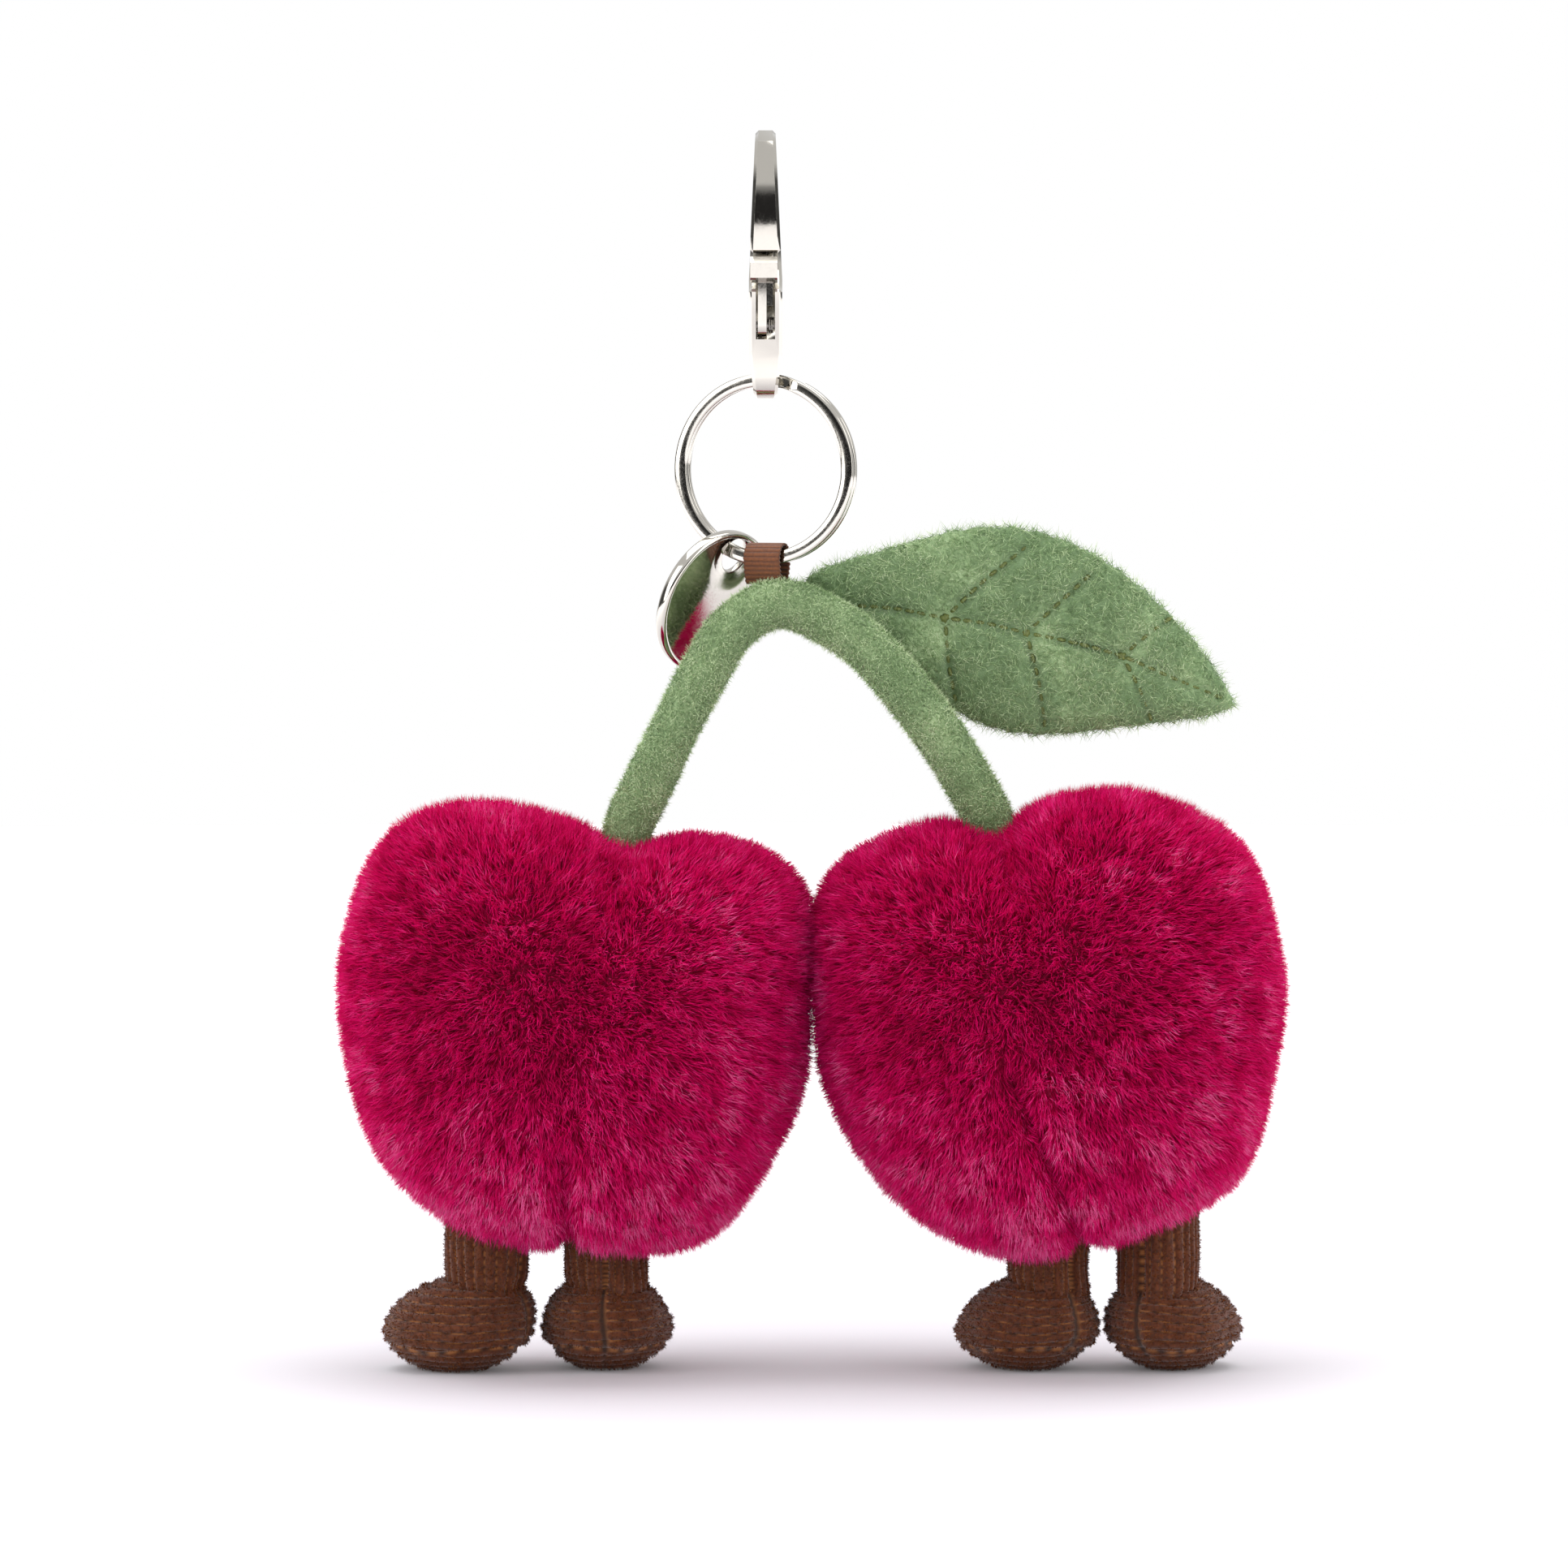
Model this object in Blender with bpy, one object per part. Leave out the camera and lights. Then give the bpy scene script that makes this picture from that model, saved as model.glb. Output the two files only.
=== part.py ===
"""A plush bag charm in the shape of two cherries on one bent stalk.

It hangs from a lobster clasp. A split ring joins the clasp to a ribbon loop sewn to the stalk, and a round metal
tag hangs on the same ring. Each cherry is a pile-fabric ball with two corduroy legs. +X is the wearer's right
as the plain back is seen, +Y points from that back to the far side, and +Z is up. Heights are worked in
millimetres above the soles; the origin is the inside top of the clasp's hook, which is what holds the charm up.
"""

import math

import bmesh
import bpy
import numpy as np
from mathutils import Matrix, Vector

MM = 0.001
GAP = 0.3  # clearance between neighbouring solids

# Driving dimensions, in millimetres above the soles of the feet
HOOK_INSIDE_TOP = 179.3
RING_YAW = math.radians(21)  # the ring's right side stands nearer the viewer
RING_OUTER_R = 14.0
RING_RADIAL = 1.9
RING_COIL = 1.15  # axial thickness of one of the two coils
RING_PITCH = 1.3
RING_CENTRE_Z = 132.3
RING_WIRE_R = RING_OUTER_R - RING_RADIAL / 2
EYE_WIRE_Z = RING_CENTRE_Z + RING_WIRE_R
LOOP_WIRE_Z = RING_CENTRE_Z - RING_WIRE_R

PLUSH_Y = -2.7  # the cherries' middle plane, so that their weight hangs under the ring
CHERRY_DEPTH = 56.0
PILE_WALL = 2.4  # backing cloth and pile
STALK_R = 3.7
FELT_WALL = 1.0
RIBBON_WIDTH = 5.6
TAG_R, TAG_THICK, TAG_HOLE_R = 11.0, 1.8, 2.5

ALONG_RING = Vector((math.cos(RING_YAW), -math.sin(RING_YAW), 0))
UP = Vector((0, 0, 1))
ACROSS_RING = ALONG_RING.cross(UP)


# ---------------------------------------------------------------- general helpers


def clear_scene():
    for old in list(bpy.data.objects):
        bpy.data.objects.remove(old, do_unlink=True)


def finish(name, colour, roughness, metallic):
    """A Principled material from an sRGB hex colour."""
    mat = bpy.data.materials.new(name)
    mat.use_nodes = True
    parts = [int(colour[i : i + 2], 16) / 255 for i in (0, 2, 4)]
    linear = [c / 12.92 if c <= 0.04045 else ((c + 0.055) / 1.055) ** 2.4 for c in parts]
    shader = mat.node_tree.nodes["Principled BSDF"]
    shader.inputs["Base Color"].default_value = (*linear, 1)
    shader.inputs["Roughness"].default_value = roughness
    shader.inputs["Metallic"].default_value = metallic
    return mat


def pivot(name, place, parent=None):
    """An empty on a joint's axis. place is in millimetres above the soles."""
    empty = bpy.data.objects.new(name, None)
    bpy.context.scene.collection.objects.link(empty)
    empty.location = world(place)
    bpy.context.view_layer.update()
    if parent:
        hang(empty, parent)
    return empty


def hang(obj, parent):
    """Parents obj and keeps its place in the world."""
    obj.parent = parent
    obj.matrix_parent_inverse = parent.matrix_world.inverted()


def world(place):
    return (Vector(place) - Vector((0, 0, HOOK_INSIDE_TOP))) * MM


def solid(name, bm, material, parent, smooth=math.radians(40)):
    """Turns a bmesh in millimetres above the soles into an object whose origin is its parent's."""
    bmesh.ops.remove_doubles(bm, verts=bm.verts, dist=1e-4)
    bmesh.ops.recalc_face_normals(bm, faces=bm.faces)
    centre = parent.matrix_world.translation
    for vert in bm.verts:
        vert.co = world(vert.co) - centre
    mesh = bpy.data.meshes.new(name)
    bm.to_mesh(mesh)
    bm.free()
    mesh.materials.append(material)
    mesh.shade_smooth()
    mesh.set_sharp_from_angle(angle=smooth)
    obj = bpy.data.objects.new(name, mesh)
    bpy.context.scene.collection.objects.link(obj)
    obj.location = centre
    bpy.context.view_layer.update()
    hang(obj, parent)
    return obj


def cut(obj, cutter):
    """Takes the cutter's solid away from obj."""
    cutter.hide_render = True
    cutter.display_type = "WIRE"
    boolean = obj.modifiers.new("cut", "BOOLEAN")
    boolean.operation = "DIFFERENCE"
    boolean.object = cutter


def smooth_line(points, count, closed=False):
    """A Catmull-Rom curve through the points, as count points evenly spaced in its parameter."""
    pts = [Vector(p) for p in points]
    if closed:
        pts = [pts[-1], *pts, pts[0], pts[1]]
    else:
        pts = [pts[0] * 2 - pts[1], *pts, pts[-1] * 2 - pts[-2]]
    spans = len(pts) - 3
    out = []
    for i in range(count):
        t = i * spans / (count if closed else count - 1)
        k = min(int(t), spans - 1)
        f = t - k
        a, b, c, d = pts[k : k + 4]
        out.append(
            0.5 * ((2 * b) + (c - a) * f + (2 * a - 5 * b + 4 * c - d) * f**2 + (3 * b - a - 3 * c + d) * f**3)
        )
    return out


def circle(radius, sides):
    return [
        (radius * math.cos(2 * math.pi * i / sides), radius * math.sin(2 * math.pi * i / sides))
        for i in range(sides)
    ]


def frames_along(path):
    """(point, side, up) at each point of an open path, carried along it without twist."""
    out = []
    side = None
    for i, point in enumerate(path):
        ahead = (path[min(i + 1, len(path) - 1)] - path[max(i - 1, 0)]).normalized()
        if side is None:
            side = ahead.cross(Vector((0, 1, 0)) if abs(ahead.y) < 0.9 else Vector((1, 0, 0)))
        side = (side - ahead * side.dot(ahead)).normalized()
        out.append((point, side, ahead.cross(side)))
    return out


def bridge(bm, first, second):
    n = len(first)
    for i in range(n):
        bm.faces.new((first[i], first[(i + 1) % n], second[(i + 1) % n], second[i]))


def sweep(bm, frames, section):
    """A solid bar of a section (list of side, up pairs) carried along the frames."""
    rings = [[bm.verts.new(p + s * a + u * b) for a, b in section] for p, s, u in frames]
    for first, second in zip(rings, rings[1:]):
        bridge(bm, first, second)
    bm.faces.new(rings[0])
    bm.faces.new(rings[-1])
    return rings


def sweep_hollow(bm, frames, outer, inner):
    """A tube along the frames, open at both ends."""
    outside = [[bm.verts.new(p + s * a + u * b) for a, b in outer] for p, s, u in frames]
    inside = [[bm.verts.new(p + s * a + u * b) for a, b in inner] for p, s, u in frames]
    for shell in (outside, inside):
        for first, second in zip(shell, shell[1:]):
            bridge(bm, first, second)
    bridge(bm, outside[0], inside[0])
    bridge(bm, outside[-1], inside[-1])


def extrude_outline(bm, outline, axis, low, high):
    """A prism. The outline's pairs lie across the named axis, and it spans low to high along it."""
    place = {
        "X": lambda a, b, t: (t, a, b),
        "Y": lambda a, b, t: (a, t, b),
        "Z": lambda a, b, t: (a, b, t),
    }[axis]
    first = [bm.verts.new(place(a, b, low)) for a, b in outline]
    second = [bm.verts.new(place(a, b, high)) for a, b in outline]
    bridge(bm, first, second)
    bm.faces.new(first)
    bm.faces.new(second)


def cylinder_between(start, end, radius, sides=20):
    bm = bmesh.new()
    path = [Vector(start), Vector(end)]
    sweep(bm, frames_along(path), circle(radius, sides))
    return bm


# ---------------------------------------------------------------- the metal parts


def clasp_thickness(z):
    """Thickness along X at a height: thin at the bow, fullest at the cheeks, narrow at the eye."""
    return float(np.interp(z, CLASP_LEVELS, CLASP_THICKNESS))


CLASP_LEVELS = (142.5, 149.3, 160.0, 181.8)
CLASP_THICKNESS = (3.3, 4.8, 4.9, 2.9)
EYE_CENTRE_Z, EYE_R, EYE_OUTER_R = 145.95, 2.45, 3.4
PIN_Y, PIN_Z, PIN_R = -3.6, 153.4, 0.6
CHANNEL_HALF = 1.4
SEAT_Z = 158.6

# Side outline of the hook, as (y, z): outer edge from the bow round the back to the eye, then up the front
HOOK_BACK = ((0, 181.8), (4.9, 180.3), (8.0, 175), (8.6, 167.5), (7.3, 159), (4.7, 152.5), (3.6, 148.4))
HOOK_SEAT = ((-3.6, 148.4), (-4.6, 152), (-6.3, 155.8), (-6.9, SEAT_Z), (-0.8, SEAT_Z))
HOOK_INSIDE = ((1.6, 159.4), (4.2, 162.2), (5.4, 167.5), (5.1, 174), (3.2, 178), (0, HOOK_INSIDE_TOP))
HOOK_TIP = ((-3.0, 178.2), (-4.5, 175), (-4.8, 169), (-4.7, 164.1), (-7.3, 163.8), (-7.8, 169), (-7.5, 175))


def hook_outline():
    """The whole side outline, with the round stretches refined and the eye's arc put in."""
    back = smooth_line(HOOK_BACK, 16)
    eye = [
        (EYE_OUTER_R * math.cos(a), EYE_CENTRE_Z + EYE_OUTER_R * math.sin(a))
        for a in (math.radians(-180 * i / 10) for i in range(11))
    ]
    inside = smooth_line(HOOK_INSIDE + HOOK_TIP[:4], 20)
    tip = smooth_line(HOOK_TIP[4:] + ((-4.9, 180.1),), 8)
    return [tuple(p) for p in back] + eye + list(HOOK_SEAT) + [tuple(p) for p in inside] + [tuple(p) for p in tip]


def make_clasp(root, nickel, steel):
    bm = bmesh.new()
    extrude_outline(bm, hook_outline(), "X", -0.5, 0.5)
    for level in CLASP_LEVELS[1:-1]:
        geometry = list(bm.verts) + list(bm.edges) + list(bm.faces)
        bmesh.ops.bisect_plane(bm, geom=geometry, plane_co=(0, 0, level), plane_no=(0, 0, 1))
    for vert in bm.verts:
        vert.co.x *= clasp_thickness(vert.co.z)
    body = solid("clasp_body", bm, nickel, root)
    bevel = body.modifiers.new("polished_edges", "BEVEL")
    bevel.width = 0.45 * MM
    bevel.segments = 1
    bevel.limit_method = "ANGLE"
    bevel.angle_limit = math.radians(50)

    cut(body, solid("eye_cutter", cylinder_between((-4, 0, EYE_CENTRE_Z), (4, 0, EYE_CENTRE_Z), EYE_R, 24), nickel, root))
    bm = bmesh.new()
    channel = ((-10, 151.3), (-2.6, 151.3), (0.9, 154.5), (2.3, 158.0), (2.3, 161.5), (-10, 161.5))
    extrude_outline(bm, channel, "X", -CHANNEL_HALF, CHANNEL_HALF)
    cut(body, solid("channel_cutter", bm, nickel, root))
    cut(body, solid("pin_bore", cylinder_between((-4, PIN_Y, PIN_Z), (4, PIN_Y, PIN_Z), PIN_R + GAP, 16), nickel, root))

    solid("clasp_pin", cylinder_between((-2.3, PIN_Y, PIN_Z), (2.3, PIN_Y, PIN_Z), PIN_R, 16), steel, root)
    make_spring(root, steel)
    make_gate(root, nickel)


def make_spring(root, steel):
    """A torsion spring: three turns round the pin, beside the lever."""
    coil_r, wire_r, turns, start_x, pitch = 1.12, 0.14, 2.5, 0.42, 0.31
    path = []
    for i in range(int(turns * 10) + 1):
        angle = 2 * math.pi * i / 10
        x = start_x + pitch * angle / (2 * math.pi)
        path.append(Vector((x, PIN_Y + coil_r * math.cos(angle), PIN_Z + coil_r * math.sin(angle))))
    bm = bmesh.new()
    sweep(bm, frames_along(path), circle(wire_r, 5))
    solid("clasp_spring", bm, steel, root)


def make_gate(root, nickel):
    hinge = pivot("gate_axis", (0, PIN_Y, PIN_Z), root)
    bm = bmesh.new()
    boss = [
        (PIN_Y + 1.7 * math.cos(a), PIN_Z + 1.7 * math.sin(a))
        for a in (math.radians(180 + 180 * i / 8) for i in range(9))
    ]
    lever = boss + [(-1.8, 157.0), (-2.4, 161.5), (-2.9, 165.3), (-4.1, 165.3), (-4.3, 163.4), (-5.6, 159.9)]
    extrude_outline(bm, lever, "X", -1.1, 0.15)
    gate = solid("clasp_gate", bm, nickel, hinge)
    bore = cylinder_between((-4, PIN_Y, PIN_Z), (4, PIN_Y, PIN_Z), PIN_R + GAP, 16)
    cut(gate, solid("gate_bore", bore, nickel, hinge))

    bm = bmesh.new()
    tab = ((-4.0, 159.5), (-3.4, 163.3), (-7.4, 163.3), (-8.4, 162.4), (-8.2, 160.2), (-7.0, 159.5))
    extrude_outline(bm, tab, "X", -2.2, 1.75)
    join(gate, solid("gate_tab", bm, nickel, hinge))
    bm = bmesh.new()
    upper = ((-5.4, 156.2), (-2.0, 156.2), (-2.4, 161.5), (-2.9, 165.2), (-4.0, 165.2), (-4.2, 163.0), (-5.5, 159.9))
    extrude_outline(bm, upper, "X", -1.0, 1.1)
    join(gate, solid("gate_plate", bm, nickel, hinge))


def join(obj, other):
    """Unites obj with the other solid."""
    other.hide_render = True
    other.display_type = "WIRE"
    boolean = obj.modifiers.new("join", "BOOLEAN")
    boolean.operation = "UNION"
    boolean.object = other


def ring_place(angle, radius, axial):
    """A point of the ring's frame. angle runs from the top towards the ring's right."""
    outward = ALONG_RING * math.sin(angle) + UP * math.cos(angle)
    return Vector((0, 0, RING_CENTRE_Z)) + outward * radius + ACROSS_RING * axial


def make_split_ring(ring_axis, nickel):
    """Two turns of flat wire, which change places in a short step right of the top."""
    step_at, step_half, per_turn = math.radians(15), math.radians(9), 32
    half_r, half_t, chamfer = RING_RADIAL / 2, RING_COIL / 2, 0.3
    section = [
        (half_r, half_t - chamfer),
        (half_r - chamfer, half_t),
        (chamfer - half_r, half_t),
        (-half_r, half_t - chamfer),
        (-half_r, chamfer - half_t),
        (chamfer - half_r, -half_t),
        (half_r - chamfer, -half_t),
        (half_r, chamfer - half_t),
    ]
    free_end = math.radians(10.5)
    bm = bmesh.new()
    rings = []
    for i in range(2 * per_turn + 1):
        travelled = free_end + (4 * math.pi - 2 * free_end) * i / (2 * per_turn)
        step = np.clip((travelled - 2 * math.pi + step_half) / (2 * step_half), 0, 1)
        axial = RING_PITCH * (step * step * (3 - 2 * step) - 0.5)
        angle = step_at + travelled
        rings.append([bm.verts.new(ring_place(angle, RING_WIRE_R + r, axial + t)) for r, t in section])
    for first, second in zip(rings, rings[1:]):
        bridge(bm, first, second)
    bm.faces.new(rings[0])
    bm.faces.new(rings[-1])
    solid("split_ring", bm, nickel, ring_axis)


TAG_NORMAL = Vector((0.695, -0.632, -0.342)).normalized()
TAG_HOLE = Vector((-4.9, 1.88, 119.85))
TAG_DROP = 7.45  # from the hole's middle to the disc's middle


def tag_axes():
    """Two directions in the tag's face: across it, and from its middle to its hole."""
    to_hole = Vector((2.8, -0.655, 6.9))
    to_hole = (to_hole - TAG_NORMAL * to_hole.dot(TAG_NORMAL)).normalized()
    return to_hole.cross(TAG_NORMAL), to_hole


def make_tag(tag_axis, nickel):
    """A round disc with a rounded edge, and the hole that the split ring passes through."""
    across, to_hole = tag_axes()
    middle = TAG_HOLE - to_hole * TAG_DROP
    half = TAG_THICK / 2
    profile = ((0, half), (TAG_R - 0.5, half), (TAG_R, half - 0.5), (TAG_R, 0.5 - half), (TAG_R - 0.5, -half), (0, -half))
    bm = bmesh.new()
    sides = 32
    rings = []
    for radius, height in profile[1:-1]:
        rings.append(
            [
                bm.verts.new(middle + across * a + to_hole * b + TAG_NORMAL * height)
                for a, b in circle(radius, sides)
            ]
        )
    for first, second in zip(rings, rings[1:]):
        bridge(bm, first, second)
    bm.faces.new(rings[0])
    bm.faces.new(rings[-1])
    disc = solid("tag_disc", bm, nickel, tag_axis)
    bore = cylinder_between(TAG_HOLE - TAG_NORMAL * 3, TAG_HOLE + TAG_NORMAL * 3, TAG_HOLE_R, 20)
    cut(disc, solid("tag_bore", bore, nickel, tag_axis))


# ---------------------------------------------------------------- stalk, ribbon and leaf

RIBBON_INSIDE_R, RIBBON_THICK, RIBBON_SHIFT = 1.85, 0.4, 0.2
STALK_LINE = (
    (-20.6, -2.9, 76.0),
    (-19.8, -2.9, 80.6),
    (-16.9, -3.3, 86.9),
    (-13.0, -4.0, 95.2),
    (-8.5, -4.2, 103.6),
    (-4.3, -3.2, 109.6),
    (2.2, -2.0, 112.7),
    (9.6, -2.4, 109.9),
    (16.3, -2.7, 105.0),
    (24.2, -2.9, 95.2),
    (29.6, -2.9, 86.9),
    (32.6, -2.8, 81.2),
    (33.6, -2.8, 76.6),
)
LEAF_OUTLINE = (
    (6.4, 116.0),
    (18.5, 120.4),
    (33.6, 123.4),
    (47.0, 120.0),
    (59.0, 110.9),
    (67.6, 99.8),
    (66.6, 96.8),
    (54.0, 94.8),
    (38.3, 93.7),
    (28.4, 96.9),
    (20.0, 103.0),
    (11.0, 110.5),
)
LEAF_LAYER, LEAF_PAD, LEAF_MIDDLE_Y = 1.1, 1.4, 3.6


def make_ribbon(plush_axis, grosgrain):
    """A closed loop of ribbon round the ring's wire."""
    bm = bmesh.new()
    half = RIBBON_WIDTH / 2
    middle = Vector((0, 0, LOOP_WIRE_Z))
    shells = []
    for radius in (RIBBON_INSIDE_R + RIBBON_THICK, RIBBON_INSIDE_R):
        ends = []
        for along in (RIBBON_SHIFT - half, RIBBON_SHIFT + half):
            ends.append(
                [bm.verts.new(middle + ALONG_RING * along + ACROSS_RING * a + UP * b) for a, b in circle(radius, 16)]
            )
        bridge(bm, ends[0], ends[1])
        shells.append(ends)
    for side in (0, 1):
        bridge(bm, shells[0][side], shells[1][side])
    solid("ribbon_loop", bm, grosgrain, plush_axis)


def make_stalk(plush_axis, felt, core_colour):
    """A sewn felt tube over a stuffed core, bent into an arch. Its ends are sewn into the cherries."""
    frames = frames_along(smooth_line(STALK_LINE, 21))
    bm = bmesh.new()
    sweep_hollow(bm, frames, circle(STALK_R, 10), circle(STALK_R - FELT_WALL, 10))
    solid("stalk_cover", bm, felt, plush_axis)
    bm = bmesh.new()
    sweep(bm, frames, circle(STALK_R - FELT_WALL - GAP, 10))
    solid("stalk_core", bm, core_colour, plush_axis)


def leaf_bow(x):
    """How far back the leaf curls, from the stalk to its tip."""
    share = (x - LEAF_OUTLINE[0][0]) / 61
    return 2.2 * math.sin(math.pi * min(max(share, 0), 1))


def leaf_sheet(outline, inset, front, back):
    """A curled plate: the outline shrunk towards its middle line, between two depths."""
    bm = bmesh.new()
    centre = Vector((37.0, 107.5))
    span = max((Vector(p) - centre).length for p in outline)
    shares = (0.0, 0.5, 1.0)
    layers = []
    for depth in (front, back):
        rings = []
        for share in shares[1:]:
            ring = []
            for a, b in outline:
                out = Vector((a, b)) - centre
                reach = share * (1 - inset / span * span / max(out.length, 1))
                x, z = centre + out * reach
                ring.append(bm.verts.new((x, LEAF_MIDDLE_Y + depth + leaf_bow(x), z)))
            rings.append(ring)
        hub = bm.verts.new((centre.x, LEAF_MIDDLE_Y + depth + leaf_bow(centre.x), centre.y))
        for i, vert in enumerate(rings[0]):
            bm.faces.new((hub, vert, rings[0][(i + 1) % len(outline)]))
        for first, second in zip(rings, rings[1:]):
            bridge(bm, first, second)
        layers.append(rings[-1])
    bridge(bm, layers[0], layers[1])
    return bm


def make_leaf(plush_axis, felt, wadding):
    """Two felt layers with a thin wadding between them, quilted along the veins."""
    outline = [tuple(p) for p in smooth_line(LEAF_OUTLINE, 24, closed=True)]
    wad = LEAF_PAD / 2
    solid("leaf_front", leaf_sheet(outline, 0, -wad - GAP - LEAF_LAYER, -wad - GAP), felt, plush_axis)
    solid("leaf_back", leaf_sheet(outline, 0, wad + GAP, wad + GAP + LEAF_LAYER), felt, plush_axis)
    solid("leaf_wadding", leaf_sheet(outline, 1.5, -wad, wad), wadding, plush_axis)


# ---------------------------------------------------------------- cherries

# Front outlines as (x, z), clockwise from the dimple
LEFT_OUTLINE = (
    (-19.9, 77.8),
    (-9.4, 79.5),
    (1.2, 76.0),
    (6.1, 69.0),
    (6.4, 56.0),
    (5.6, 42.4),
    (0.0, 29.5),
    (-8.5, 19.6),
    (-19.0, 16.6),
    (-32.0, 17.6),
    (-45.2, 20.6),
    (-57.5, 33.0),
    (-63.4, 54.4),
    (-60.8, 70.4),
    (-54.0, 80.0),
    (-43.3, 84.0),
    (-31.0, 82.0),
)
RIGHT_OUTLINE = (
    (33.3, 79.2),
    (42.0, 84.2),
    (53.1, 85.8),
    (63.4, 82.6),
    (71.5, 76.3),
    (75.6, 64.0),
    (75.9, 51.0),
    (71.3, 31.0),
    (62.6, 22.4),
    (50.5, 18.2),
    (38.1, 16.6),
    (26.0, 20.6),
    (15.4, 29.4),
    (8.4, 42.0),
    (7.4, 57.0),
    (8.6, 70.7),
    (14.4, 77.6),
    (24.4, 81.0),
)
CHERRY_AROUND, CHERRY_RINGS = 26, 11
FULLNESS = 2.35  # 2 is an ellipse from front to back, more is boxier


def cherry_ball(outline, inset):
    """A ball with the given front outline. Its poles face front and back."""
    line = smooth_line(outline, CHERRY_AROUND, closed=True)
    low = Vector((min(p.x for p in line), min(p.y for p in line)))
    high = Vector((max(p.x for p in line), max(p.y for p in line)))
    centre = (low + high) / 2
    half_depth = CHERRY_DEPTH / 2 - inset
    bm = bmesh.new()
    rings = []
    for k in range(1, CHERRY_RINGS):
        turn = math.pi * k / CHERRY_RINGS
        reach = math.sin(turn) ** (2 / FULLNESS)
        across = math.cos(turn)
        depth = math.copysign(abs(across) ** (2 / FULLNESS), across) * half_depth
        ring = []
        for p in line:
            out = p - centre
            out *= reach * (1 - inset / out.length)
            ring.append(bm.verts.new((centre.x + out.x, PLUSH_Y - depth, centre.y + out.y)))
        rings.append(ring)
    for first, second in zip(rings, rings[1:]):
        bridge(bm, first, second)
    for ring, depth in ((rings[0], half_depth), (rings[-1], -half_depth)):
        pole = bm.verts.new((centre.x, PLUSH_Y - depth, centre.y))
        for i, vert in enumerate(ring):
            bm.faces.new((pole, vert, ring[(i + 1) % len(ring)]))
    return bm


def make_cherry(side, outline, stalk_end, leg_tops, plush_axis, pile, wadding):
    """The pile-fabric cover, with holes for the stalk and the legs, and the stuffing inside it."""
    cover = solid(f"cherry_{side}_cover", cherry_ball(outline, 0), pile, plush_axis)
    cut(cover, solid(f"{side}_hollow_cutter", cherry_ball(outline, PILE_WALL), pile, plush_axis))
    stuffing = solid(f"cherry_{side}_stuffing", cherry_ball(outline, PILE_WALL + GAP), wadding, plush_axis)
    end, outward = stalk_end
    tools = [cylinder_between(end - outward * GAP, end + outward * 16, STALK_R + 0.5, 16)]
    for top in leg_tops:
        tools.append(cylinder_between(top + UP * GAP, top - UP * 20, LEG_R + 0.5, 16))
    for number, bm in enumerate(tools):
        tool = solid(f"{side}_hole_cutter_{number}", bm, pile, plush_axis)
        cut(cover, tool)
        cut(stuffing, tool)


# ---------------------------------------------------------------- legs

LEG_R, CLOTH = 6.0, 1.0
FOOT_LONG, FOOT_WIDE, FOOT_HIGH, SOLE_THICK = 11.5, 9.7, 13.6, 1.0
FOOT_AHEAD = 5.0  # from the leg's middle line to the foot's middle
LEGS = {  # name: (leg's x, toe direction in degrees from +X towards +Y, top of the leg)
    "leg_1": (-40.9, 155, 26.0),
    "leg_2": (-23.5, 90, 22.5),
    "leg_3": (41.5, 128, 22.0),
    "leg_4": (57.6, 60, 26.0),
}


def foot_rings(inset, levels):
    """(height, rings of side and length) of the foot's bun shape, shrunk by inset."""
    out = []
    for height in levels:
        rise = min(max(height / (FOOT_HIGH + 0.6), 0), 1)
        swell = (1 - rise**2.6) ** 0.5 * (0.9 + 0.1 * math.sin(math.pi * min(rise * 2.2, 1)))
        out.append((height, FOOT_LONG * swell - inset, FOOT_WIDE * swell - inset))
    return out


def foot_bm(inset, levels, place, around=16):
    bm = bmesh.new()
    rings = []
    for height, long, wide in foot_rings(inset, levels):
        rings.append([bm.verts.new(place(FOOT_AHEAD + long * a, wide * b, height)) for a, b in circle(1, around)])
    for first, second in zip(rings, rings[1:]):
        bridge(bm, first, second)
    bm.faces.new(rings[0])
    bm.faces.new(rings[-1])
    return bm


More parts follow.
